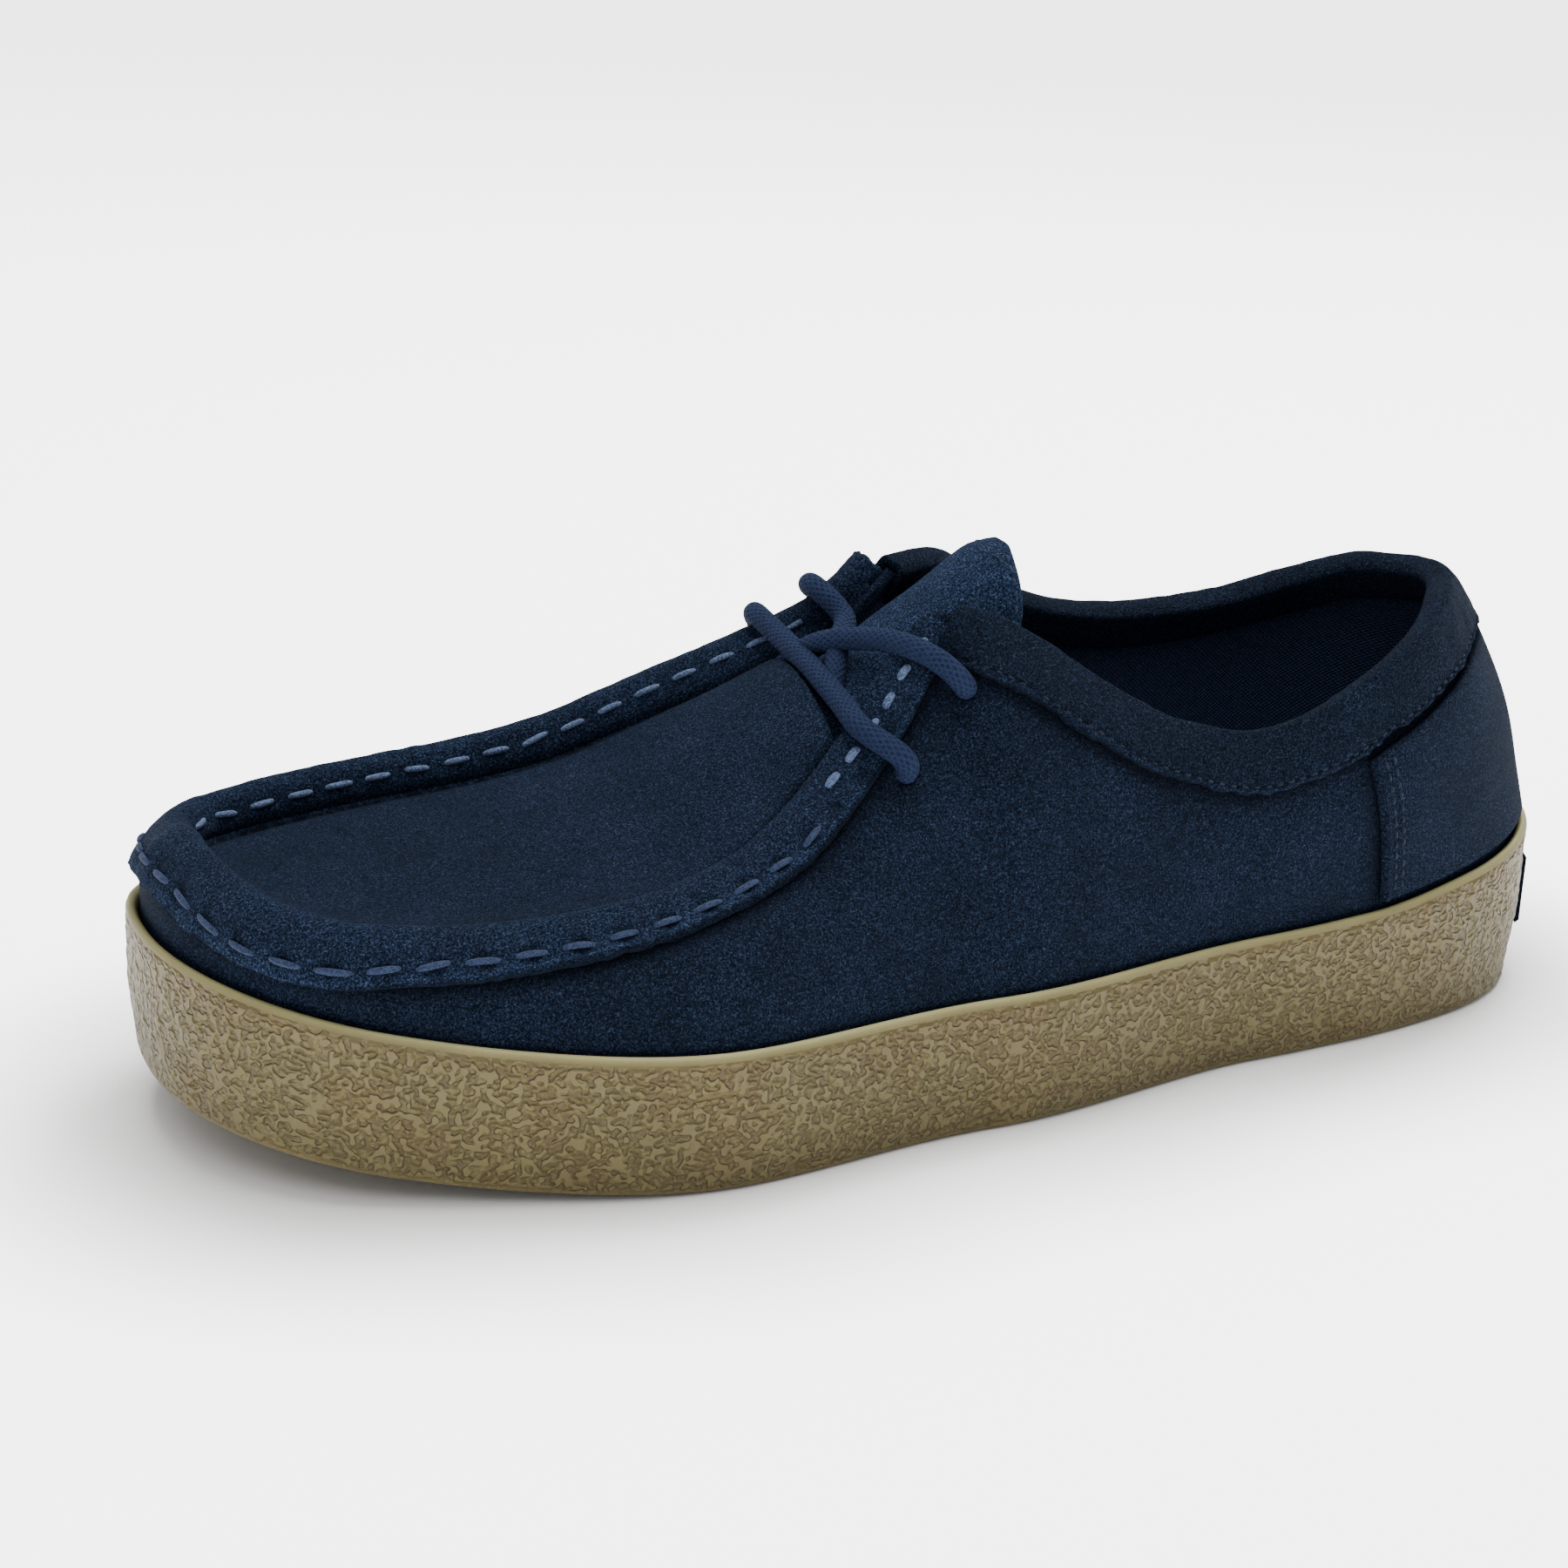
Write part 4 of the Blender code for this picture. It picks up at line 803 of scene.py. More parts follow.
# Side wall of the sole. The outline is carried up a profile; noise lumps it below the smooth lip,
# and the grain mask says where the crepe relief of the material shows.
sidewall = {
    "places": 1200, "rows": 40, "lump": 1.5 * mm, "lumpHeight": 0.35 * mm, "swell": 9 * mm,
    "swellHeight": 0.5 * mm, "lipBand": 1.7 * mm, "footBand": 1.3 * mm, "warm": 7 * mm, "ragged": 2.5 * mm,
}


def buildSidewall():
    turns = np.linspace(-1, 1, sidewall["places"] + 1)[:-1]
    ray = rayOf(turns)
    lip, lean, foot, bead = lipAbove(ray), sole["cupLean"], sole["cupFootRound"], sole["lipRound"] * 2
    wide, thick = lip - bead, sole["lipThickness"]
    rim = lean + sole["rimWidth"]
    profile = [(rim + sole["gap"], sole["recessDepth"]), (rim, 0.0), (rim - 0.2 * mm, 0.0)]
    for angle in np.linspace(0, 1, 6) * math.pi / 2:
        inset = lean * 0.7 + (lean * 0.3 + foot * 0.7) * (1 - math.sin(angle))
        profile.append((inset, foot * (1 - math.cos(angle))))
    first = len(profile) - 2
    for share in np.linspace(0, 1, sidewall["rows"])[1:]:
        profile.append((lean * 0.7 * max(1 - share / 0.55, 0) ** 1.3, foot + (wide - foot) * share))
    last = len(profile)
    for angle in np.linspace(0, 0.85, 8)[1:] * math.pi:
        profile.append((thick * 0.5 * (1 - math.cos(angle)), wide + bead * math.sin(angle) ** 0.8))
    profile += [(thick + 0.2 * mm, wide), (sole["cupWall"], floorAbove(ray))]
    inset, above = (np.stack([row[k] + 0 * turns for row in profile], 1) for k in (0, 1))
    grid = ring(turns[:, None] + 0 * inset, inset, above)
    normal = gridNormals(grid, closed=True)
    outer = np.zeros(len(profile))
    outer[first:last] = 1
    lip, band = lip[:, None], sidewall["lipBand"]
    clear = outer * fade(above, sidewall["footBand"] * 0.6, sidewall["footBand"] * 1.3)
    ragged = band * (1 + lumps(grid, sidewall["ragged"], 23, 0.8))
    clear = clear * (1 - fade(above, lip - ragged * 1.25, lip - ragged * 0.7))
    lump = (latticeNoise(grid, sidewall["lump"], 20) - 0.6) * sidewall["lumpHeight"]
    swell = lumps(grid, sidewall["swell"], 21, sidewall["swellHeight"])
    grid = grid + normal * ((lump + swell) * clear)[..., None]
    underLip = np.exp(-(((above - lip + band * 1.5) / (1.6 * mm)) ** 2))
    masks = {
        "grain": clear,
        "warm": clear * (0.5 * fade(latticeNoise(grid, sidewall["warm"], 22), 0.5, 0.8) + 0.5 * underLip),
        # The lip mask marks a painted highlight along the top of the lip's bead.
        "lip": fade(above, lip - 0.9 * mm, lip - 0.3 * mm),
        "rim": 0.8 * (1 - fade(above, 0.4 * mm, 2.4 * mm)),
    }
    patches = [patchOf(grid, closedRows=True), fillRing(grid[:, 0], 4), fillRing(grid[:, -1], 4)]
    addPiece("sidewall", patches, [crepe], "crepe", ["cupsole"], masks=masks)


buildSidewall()


# Tread: relief over the plate from the distance to the edge (ribbed border and a thin line), bars at
# the toe, and ring lugs with bosses, between small pips.
tread = {
    "borderWidth": 9.5 * mm, "lugPitch": 33 * mm, "lugAcross": 28 * mm, "lugRidge": 5 * mm,
    "lugCorner": 6 * mm, "bossRadius": 6.5 * mm, "toeBarPitch": 9 * mm, "toeBarWidth": 5 * mm,
    "toeBarCount": 4, "toeBarStart": 24 * mm,
}
treadLook = {
    "rows": 540, "columns": 150, "rimPlaces": 1600, "ribPitch": 3.2 * mm, "pipPitch": 3.4 * mm,
    "lineWidth": 1.5 * mm, "soft": 0.45 * mm,
}


def lugCentres():
    step = tread["lugPitch"] / math.sqrt(2)
    first = tread["toeBarStart"] + tread["toeBarPitch"] * tread["toeBarCount"] + tread["lugAcross"] * 0.62
    centres = []
    for i in range(int((sole["length"] - first) / step) + 1):
        along = first + i * step
        ray = along / sole["length"]
        room = float(halfWidth(ray)) - sole["cupLean"] - sole["rimWidth"] - tread["borderWidth"]
        if along > sole["length"] - sole["heelCapLength"] * 0.52:
            continue
        for j in (-1, 0, 1):
            if (i + j) % 2 == 0 and abs(j) * step < room - tread["lugAcross"] * 0.22:
                centres.append((along - sole["length"] / 2, float(centreLine(ray)) + j * step))
    return centres


# Distance from a rounded square turned by 45 degrees, negative inside it.
def diamondDistance(x, y, half, corner):
    u, v = np.abs(x + y) / math.sqrt(2), np.abs(x - y) / math.sqrt(2)
    a, b = u - half + corner, v - half + corner
    return np.hypot(np.maximum(a, 0), np.maximum(b, 0)) + np.minimum(np.maximum(a, b), 0) - corner


# 1 up to a reach and 0 beyond it, over a soft edge.
def within(distance, reach):
    return 1 - fade(distance, reach - treadLook["soft"], reach + treadLook["soft"])


# Relief from 0 at the plate to 1 at the floor, from the plan and the place along the edge.
def treadRelief(x, y, edge, run):
    width, ridge = tread["borderWidth"], tread["lugRidge"]
    rib = 0.5 + 0.5 * np.sin(2 * math.pi * (run + edge) / treadLook["ribPitch"])
    border = (0.42 + 0.44 * fade(rib, 0.25, 0.75)) * fade(edge, 0.2 * mm, 1.1 * mm) * within(edge, width)
    lineAt = np.abs(edge - width - 1.6 * mm)
    line = 0.7 * (1 - fade(lineAt, treadLook["lineWidth"] * 0.3, treadLook["lineWidth"] * 0.7))
    inside = fade(edge, width + 2.4 * mm, width + 3 * mm)
    pipX, pipY = (x + y) / treadLook["pipPitch"] % 1 - 0.5, (x - y) / treadLook["pipPitch"] % 1 - 0.5
    pips = 0.22 * (1 - fade(np.hypot(pipX, pipY), 0.16, 0.30)) * inside
    relief = np.maximum(np.maximum(border, line), pips)
    for i in range(tread["toeBarCount"]):
        middle = -sole["length"] / 2 + tread["toeBarStart"] + tread["toeBarPitch"] * (i + 0.5)
        relief = np.maximum(relief, within(np.abs(x - middle), tread["toeBarWidth"] / 2) * inside)
    for centreX, centreY in lugCentres():
        away = diamondDistance(x - centreX, y - centreY, tread["lugAcross"] / 2, tread["lugCorner"])
        radius = np.hypot(x - centreX, y - centreY)
        boss = within(radius, tread["bossRadius"]) * (0.35 + 0.65 * fade(radius, 2 * mm, 3 * mm))
        relief = np.maximum(relief, np.maximum(within(np.abs(away + ridge / 2), ridge / 2), boss))
    return relief


def buildTread():
    inset = sole["cupLean"] + sole["rimWidth"] + sole["gap"] * 2

    def outline(turn):
        return soleEdge(turn) - edgeNormal(turn) * inset

    turns = np.linspace(0, 1, treadLook["rows"])
    lateral, medial = outline(-turns)[:, None], outline(turns)[:, None]
    rim = outline(np.linspace(-1, 1, treadLook["rimPlaces"] + 1)[:-1])
    run = runAlong(rim)
    share = np.linspace(0, 1, treadLook["columns"])[None, :, None]
    plan = lateral * (1 - share) + medial * share
    edge, along = np.empty(plan.shape[:2]), np.empty(plan.shape[:2])
    for start in range(0, len(plan), 20):
        away = ((plan[start:start + 20, :, None] - rim) ** 2).sum(-1)
        edge[start:start + 20] = np.sqrt(away.min(-1))
        along[start:start + 20] = run[away.argmin(-1)]
    relief = treadRelief(plan[..., 0], plan[..., 1], edge, along)
    height = spring(plan[..., 0]) + (sole["recessDepth"] - sole["plateThickness"]) * (1 - relief)
    bottom = np.concatenate([plan, height[..., None]], -1)
    few = np.linspace(0, 1, 3)[None, :, None]
    cover = lateral * (1 - few) + medial * few
    height = spring(cover[..., 0]) + sole["recessDepth"] - sole["gap"]
    cover = np.concatenate([cover, height[..., None]], -1)
    patches = [patchOf(bottom), patchOf(cover, flip=True)]
    patches += [patchOf(np.stack([bottom[:, column], cover[:, column]], 1)) for column in (0, -1)]
    others = sum(grid.size // 3 for grid, _ in patches[1:])
    masks = {"height": np.concatenate([relief.ravel(), np.full(others, 0.3)])}
    addPiece("treadSole", patches, [gum], "gum", ["outsole"], masks=masks)


buildTread()


# Sock liner: a thin sheet on the cup's floor with a rounded rim.
linerRim = (
    # inset, height
    (0.0, 0.0),
    (0.0, 1.6 * mm),
    (0.3 * mm, 2.6 * mm),
    (1.0 * mm, 3.3 * mm),
    (2.2 * mm, 3.5 * mm),
)


def buildLiner():
    turns = np.linspace(-1, 1, 401)[:-1]
    wall = sole["cupWall"] + sole["gap"] * 2 + shell["upperWall"] * 1.25
    low = floorAbove(rayOf(turns)) + sole["gap"]
    grid = np.stack([ring(turns, wall + inset + 0 * turns, low + lift) for inset, lift in linerRim], 1)
    patches = [patchOf(grid, closedRows=True), fillRing(grid[:, 0], 12), fillRing(grid[:, -1], 12)]
    addPiece("sockLiner", patches, [lining], "fabric", ["insole"])


buildLiner()


# Apron seam: a roll with a thin flange below, a flat strip up the lateral throat edge. The roll
# puckers between stitches, and the flange's raw edge waves.
seam = {
    "seamGap": 0.7 * mm, "ridgeWidth": 12 * mm, "ridgeHeight": 4.2 * mm, "stripThickness": 2.0 * mm,
}
seamLook = {
    "places": 560, "columns": 30, "pitch": 8.6 * mm, "pucker": 0.6 * mm, "puckerAt": 0.79,
    "edgeWave": 1.0 * mm, "lump": 2.4 * mm, "lumpHeight": 0.25 * mm,
}
ridgeSection = (
    # share of the width, share of the height
    (0.04, 0.20),
    (0.10, 0.62),
    (0.24, 0.95),
    (0.42, 1.00),
    (0.62, 0.72),
    (0.80, 0.40),
    (1.00, 0.31),
)
ridgeTable = (
    # ray, lateral, medial, flat, width
    (0.00, 1.30, 1.30, 0.00, 1.00),
    (0.06, 1.05, 1.50, 0.00, 1.00),
    (0.15, 0.95, 1.55, 0.00, 1.00),
    (0.30, 0.95, 1.75, 0.00, 1.00),
    (0.38, 0.90, 2.05, 0.10, 0.97),
    (0.44, 0.85, 2.15, 1.00, 0.86),
    (0.50, 0.80, 1.65, 1.00, 0.78),
)


# Places on the wall under the seam, normals, and the seam's height over it: a ridge along the
# section's curve, turning into a flat strip where flat is 1.
def seamSurface(turns, shares):
    ray = rayOf(turns)
    order = np.argsort(shares)
    spots, normals = walkDown(turns, shares[order], width=seam["ridgeWidth"] * follow(ridgeTable, 4, ray))
    back = np.argsort(order)
    side = np.clip(turns / turnOf(0.06) * 0.5 + 0.5, 0, 1)
    lateral, medial = follow(ridgeTable, 1, ray), follow(ridgeTable, 2, ray)
    height = seam["ridgeHeight"] * (lateral * (1 - side) + medial * side)
    flat = np.where(turns < 0, follow(ridgeTable, 3, ray), 0.0)[:, None]
    key, value = np.array(ridgeSection).T
    level = np.clip(cubic(key, value, np.gradient(value, key), np.clip(shares, key[0], key[-1])), 0, 1.02)
    strip = seam["stripThickness"] * np.minimum(1.0, level * 1.6)
    return spots[:, back], normals[:, back], height[:, None] * level * (1 - flat) + strip * flat


def buildSeam():
    turns = np.linspace(-endTurn, endTurn, seamLook["places"])
    middle = np.linspace(0.94, 0.07, seamLook["columns"])
    shares = np.concatenate([[1.0, 0.995, 0.985, 0.97], middle, [0.05, 0.04]])
    spots, normals, lift = seamSurface(turns, shares)
    run = runAlong(spots[:, 0])
    count = int(run[-1] / seamLook["pitch"])
    pucker = (0.5 + 0.5 * np.cos(2 * math.pi * run * count / run[-1]))[:, None]
    near = np.exp(-((shares - seamLook["puckerAt"]) / 0.15) ** 2)
    lift = lift - seamLook["pucker"] * pucker ** 3 * near * np.minimum(lift / (1.2 * mm), 1)
    lift[:, :3] *= (0.15, 0.55, 0.85)
    outer = spots + normals * (seam["seamGap"] + lift)[..., None]
    seat = np.where(shares < 0.12, -0.6 * mm, 0.15 * mm)  # the apron side reaches down to the wall
    inner = spots + normals * seat[:, None]
    wave = lumps(outer, 1.6 * mm, 41, seamLook["edgeWave"]) + lumps(outer, 6 * mm, 42, seamLook["edgeWave"])
    down = outer[:, :-1] - outer[:, 1:]
    down = unit(np.concatenate([down, down[:, -1:]], 1)) * (fade(shares, 0.85, 1.0) * wave)[..., None]
    bumps = lumps(outer, seamLook["lump"], 43, seamLook["lumpHeight"]) * np.minimum(lift / (1 * mm), 1)
    # Painted light and shade on the seam: the flange's raw edge darker (its own darker cut tone with painted
    # shade), a painted highlight on the frayed band just above it, and painted shade in the dips between
    # stitches.
    lit = fade(shares, 0.82, 0.90) * (1 - fade(shares, 0.94, 0.98))
    shade = 0.6 * fade(shares, 0.95, 1.0) - 0.4 * lit + 0.35 * near * pucker ** 4
    patches = shellSolid(outer + down + normals * bumps[..., None], inner + down)
    addPiece("apronSeam", patches, [litSeamSuede], "suede", ["apron_seam"], masks={"shade": bothFaces(shade)})


# A row of stitches on the seam at one share of its width, between two places round the shoe.
def seamStitches(name, first, last, share, material, pitch, length, radius):
    turns = np.linspace(first, last, 400)
    spots, normals, lift = seamSurface(turns, np.array([share, share + 0.02]))
    rows = spots + normals * (seam["seamGap"] + lift)[..., None]
    face = unit(np.cross(rows[:, 1] - rows[:, 0], np.gradient(rows[:, 0], axis=0)))
    face *= np.sign((face * normals[:, 0]).sum(1))[:, None]
    stitches = stitchPatch(placesAlong(rows[:, 0], face, pitch, 2 * mm), length, radius)
    addPiece(name, [stitches], [material], "braid")


buildSeam()
throatTurn = float(turnOf(0.395))
pitch = seamLook["pitch"]
seamStitches("seamStitches", -throatTurn, endTurn - 0.01, 0.79, thickThread, pitch, 7.0 * mm, 0.65 * mm)
seamStitches("innerStitches", 0.10, endTurn - 0.02, 0.075, paleThread, pitch, 6.4 * mm, 0.65 * mm)
seamStitches("stripStitches", -endTurn + 0.002, -throatTurn, 0.50, paleThread, 7 * mm, 4.8 * mm, 0.8 * mm)


# Open end of the roll beside the tongue: a short hollow tube whose rim is rough.
rollEnd = {
    "length": 13 * mm, "beyond": 3.5 * mm, "radius": 4.3 * mm, "wall": 1.5 * mm, "rough": 0.5 * mm,
    "sides": 48, "hollowRows": 12,
}


def buildRollEnd():
    turns = np.linspace(endTurn - 0.10, endTurn, 40)
    spots, normals, lift = seamSurface(turns, np.array([0.42, 0.45]))
    crest = spots[:, 0] + normals[:, 0] * (seam["seamGap"] + lift[:, :1] - rollEnd["radius"] * 0.95)
    run = runAlong(crest)
    at = np.linspace(run[-1] - rollEnd["length"], run[-1], 20)
    base = np.stack([np.interp(at, run, crest[:, k]) for k in range(3)], -1)
    heading = unit(base[-1] - base[-4])
    path = np.concatenate([base, base[-1] + heading * np.linspace(0, rollEnd["beyond"], 6)[1:, None]])
    outer = tubeGrid(path, rollEnd["radius"], rollEnd["sides"])
    inner = tubeGrid(path, rollEnd["radius"] - rollEnd["wall"], rollEnd["sides"])
    rough = lumps(outer, 1.4 * mm, 45, rollEnd["rough"])[..., None]
    outer = outer + unit(outer - path[:, None]) * rough
    rim = (outer[-1] + inner[-1]) / 2 + heading * (0.7 * mm + rough[-1])
    hollow = inner[::-1][:rollEnd["hollowRows"]]
    bottom = hollow[-1].mean(0) + 0 * rim
    rows = np.concatenate([outer, rim[None], hollow, bottom[None]])
    # Painted shade: the hollow darkens from its rim towards the bottom.
    dark = np.concatenate([np.zeros(len(outer)), [0.1], np.linspace(0.5, 0.95, len(hollow) + 1)])
    masks = {"shade": dark[:, None] + np.zeros(rollEnd["sides"])}
    patches = [patchOf(rows, closedColumns=True)]
    addPiece("rollEnd", patches, [litSeamSuede], "suede", masks=masks, weld=0.002 * mm)


buildRollEnd()


# Collar band folded over the top line; its lower edge is rough and waves a little. The section
# runs up the outside, over the top line and down inside, as (place down the wall, height over it).
bandLook = {
    "places": 520, "early": 0.013, "ease": 26, "edgeRough": 1.0 * mm, "edgeRows": 8, "outsideRows": 24,
    "stitchRow": 4, "stitchPitch": 2.6 * mm, "stitchLength": 1.7 * mm, "stitchRadius": 0.28 * mm,
}
bandEdge = (
    # share of the width, share of the thickness
    (1.00, 0.20),
    (0.985, 0.75),
    (0.95, 1.05),
    (0.91, 0.95),
    (0.88, 0.72),
)


def buildBand():
    width, thick, gap = band["bandWidth"], band["bandThickness"], band["bandGap"]
    inside = shell["upperWall"] + gap
    turns = heelTurns(shell["bandStartRay"] - bandLook["early"], bandLook["places"])
    flank, inner = np.linspace(0.85, 0.1, 12), (0.25, 0.5, 0.75, 0.95, 1.0)
    outerPath = [(width * share, gap + thick * lift) for share, lift in bandEdge]
    outerPath += [(width * share, gap + thick * (0.93 + 0.07 * math.sin(math.pi * share))) for share in flank]
    middle, half = (gap - inside) / 2, (gap + inside) / 2 + thick * 0.82
    for angle in np.linspace(0, 1, 11) * math.pi:
        outerPath.append((-gap - thick * 0.8 * math.sin(angle) ** 0.8, middle + half * math.cos(angle)))
    outerPath += [(band["bandInside"] * share, -inside - thick * 0.62) for share in inner]
    innerPath = [(width * share, gap) for share in [row[0] for row in bandEdge] + list(flank)]
    innerPath += [(-gap, gap - (gap + inside) * share) for share in np.linspace(0, 1, 11)]
    innerPath += [(band["bandInside"] * share, -inside) for share in inner]
    path = np.array(outerPath + innerPath)
    rank = np.argsort(path[:, 0], kind="stable")
    spots, normals = walkDown(turns, path[rank, 0], turns[0], turns[-1], ease=bandLook["ease"])
    back = np.argsort(rank, kind="stable")
    spots, normals = spots[:, back], normals[:, back]
    grid = spots + normals * path[:, 1, None]
    count = len(outerPath)
    outer, inner, place = grid[:, :count], grid[:, count:], np.arange(count)
    shares = path[:count, 0] / width
    rough = (lumps(outer, 1.5 * mm, 51, 1) + lumps(outer, 5 * mm, 52, 0.8)) * bandLook["edgeRough"]
    edge = np.where(place < bandLook["edgeRows"], fade(shares, 0.85, 1.0), 0) * rough
    down = unit(spots[:, :1] - spots[:, 4:5]) * edge[..., None]
    bumps = lumps(outer, 2.4 * mm, 53, 0.3 * mm) + lumps(outer, 9 * mm, 54, 0.5 * mm)
    bumps = bumps * np.where(place < bandLook["outsideRows"], 1.0, 0.3)
    # The band's lowest row gets painted shade; lit lightens the frayed edge above it, its paler cut tone with
    # painted highlight.
    lit = np.where(place < bandLook["edgeRows"], fade(shares, 0.90, 0.95) * (1 - fade(shares, 0.97, 0.99)), 0)
    shade = 0.6 * (place < 1) - 0.55 * lit + 0 * rough
    patches = shellSolid(outer + down + unit(outer - inner) * bumps[..., None], inner + down)
    addPiece("collarBand", patches, [shadedBandSuede], "suede", ["collar_band"], masks={"shade": bothFaces(shade)})
    row = bandLook["stitchRow"]
    places = placesAlong(grid[:, row], normals[:, row], bandLook["stitchPitch"], 3 * mm)
    stitches = stitchPatch(places, bandLook["stitchLength"], bandLook["stitchRadius"], rise=0.6)
    addPiece("bandStitches", [stitches], [fineThread], "braid")


buildBand()


# Heel panel from just over the sole up to the band, with raised front edges and two stitch rows.
panel = {
    "overlayGap": 0.45 * mm, "panelThickness": 1.2 * mm,
}
panelLook = {
    "places": 260, "rows": 26, "lowest": 0.03, "edgeRise": 0.5 * mm, "edgeWidth": 1.6 * mm,
    "stitchPitch": 2.6 * mm, "stitchLength": 1.8 * mm, "stitchRadius": 0.3 * mm,
    "stitchRows": (3 * mm, 5 * mm),
}


def buildPanel():
    small, lowest = 0.003, panelLook["lowest"]
    ends = heelTurns(shell["bandStartRay"], 200)
    lower, _ = walkDown(ends, [band["bandWidth"] + 2 * panel["overlayGap"]], ends[0], ends[-1], ease=10)
    shares = np.linspace(lowest, 1, 400)
    turns = heelTurns(shell["panelRay"], panelLook["places"])
    top = []
    for turn in turns:
        line = wallPoint(np.full(len(shares), turn), shares)
        gap = np.linalg.norm(line[:, None] - lower[None, :, 0], axis=-1).min(1)
        top.append(shares[gap.argmin()] - 0.02)
    top = soften(np.array(top)[:, None], 4)
    share = lowest + (top - lowest) * np.linspace(0, 1, panelLook["rows"])
    here = turns[:, None] + 0 * share
    point = wallPoint(here, share)
    along = wallPoint(here + small, share) - wallPoint(here - small, share)
    up = wallPoint(here, share + small) - wallPoint(here, share - small)
    normal = unit(np.cross(up, along))
    run = runAlong(point)
    front = np.minimum(run, run[-1:] - run)
    width = panelLook["edgeWidth"]
    ridge = fade(front, 0, 0.5 * mm) * (1 - fade(front, width * 0.7, width * 1.3))
    lift = panel["panelThickness"] + panelLook["edgeRise"] * ridge
    lift = lift + lumps(point, 12 * mm, 61, 0.5 * mm) * fade(front, 1 * mm, 6 * mm)
    lift = lift * (0.35 + 0.65 * fade(front, -0.1 * mm, 0.5 * mm))
    outer = point + normal * (panel["overlayGap"] + lift)[..., None]
    inner = point + normal * panel["overlayGap"]
    addPiece("heelPanel", shellSolid(outer[::-1], inner[::-1]), [suede], "suede", ["heel_counter"])
    rows, patches = np.arange(panelLook["rows"]), []
    for seed, reach in enumerate(panelLook["stitchRows"], 4):
        for flip in (False, True):
            away = (run[-1:] - run)[::-1] if flip else run
            column = np.array([np.interp(reach, away[:, j], np.arange(len(run))) for j in rows])
            column = len(run) - 1 - column if flip else column
            low = np.clip(column.astype(int), 0, len(run) - 2)
            part = (column - low)[:, None]
            line = outer[low, rows] * (1 - part) + outer[low + 1, rows] * part
            places = placesAlong(line, normal[low, rows], panelLook["stitchPitch"], 1.5 * mm)
            sizes = panelLook["stitchLength"], panelLook["stitchRadius"]
            patches.append(stitchPatch(places, *sizes, rise=0.6, seed=seed))
    addPiece("panelStitches", patches, [fineThread], "braid")


buildPanel()


# Upper: wall and apron as one suede shell over a lining. The apron rises softly to the roll on
# its lateral edge and dips to a groove along its medial edge; broad creases are soft troughs.
upperLook = {
    "fore": 150, "rear": 150, "rows": 50, "apronColumns": 56, "grooveDepth": 1.1 * mm,
    "grooveWidth": 2.6 * mm, "lateralRise": 2.4 * mm, "riseWidth": 7 * mm,
    "edgeShade": 0.6, "edgeReach": 2.2 * mm,
}


def eyeletDrills():
    build, bore = bmesh.new(), shell["eyeletBore"] / 2
    for side in (-1, 1):
        for number in (0, 1):
            spots, normals = eyeletSpots(side, number)
            turn = Vector(normals[0]).to_track_quat("Z", "Y").to_matrix().to_4x4()
            bmesh.ops.create_cone(
                build, cap_ends=True, segments=32, radius1=bore, radius2=bore,
                depth=shell["upperWall"] * 6, matrix=Matrix.Translation(spots[0]) @ turn)
    mesh = bpy.data.meshes.new("eyeletDrills")
    build.to_mesh(mesh)
    build.free()
    return mesh


# Painted shadow: darker wall close under the seam's edge, under the band and in front of the heel panel.
def edgeShade(points):
    turns = np.linspace(-endTurn, endTurn, 700)
    width = seam["ridgeWidth"] * follow(ridgeTable, 4, rayOf(turns))
    ends = heelTurns(shell["bandStartRay"], bandLook["places"])
    lines = [walkDown(turns, [1.0], width=width)[0][:, 0]]
    lines.append(walkDown(ends, [band["bandWidth"]], ends[0], ends[-1], ease=bandLook["ease"])[0][:, 0])
    up = np.linspace(0.03, 1, 150)
    lines += [wallPoint(side * turnOf(shell["panelRay"]) + 0 * up, up) for side in (-1, 1)]
    line = np.concatenate(lines)
    away = [np.linalg.norm(part[:, None] - line, axis=-1).min(1) for part in np.array_split(points, 12)]
    return upperLook["edgeShade"] * np.exp(-((np.concatenate(away) / upperLook["edgeReach"]) ** 2))


# Gives the shell its thickness, with the lining inside, and punches the eyelets.
def hollowOut(piece):
    solid = piece.modifiers.new("wall", "SOLIDIFY")
    solid.thickness = shell["upperWall"]
    solid.offset = -1
    solid.material_offset = 1
    solid.use_quality_normals = True
    holes = piece.modifiers.new("eyelets", "BOOLEAN")
    holes.operation = "DIFFERENCE"
    holes.object = addObject("eyeletDrills", eyeletDrills())
    holes.solver = "EXACT"
    bpy.context.view_layer.update()
    drills = holes.object
    finished = bpy.data.meshes.new_from_object(piece.evaluated_get(bpy.context.evaluated_depsgraph_get()))
    piece.modifiers.clear()
    piece.data = finished
    bpy.data.objects.remove(drills)


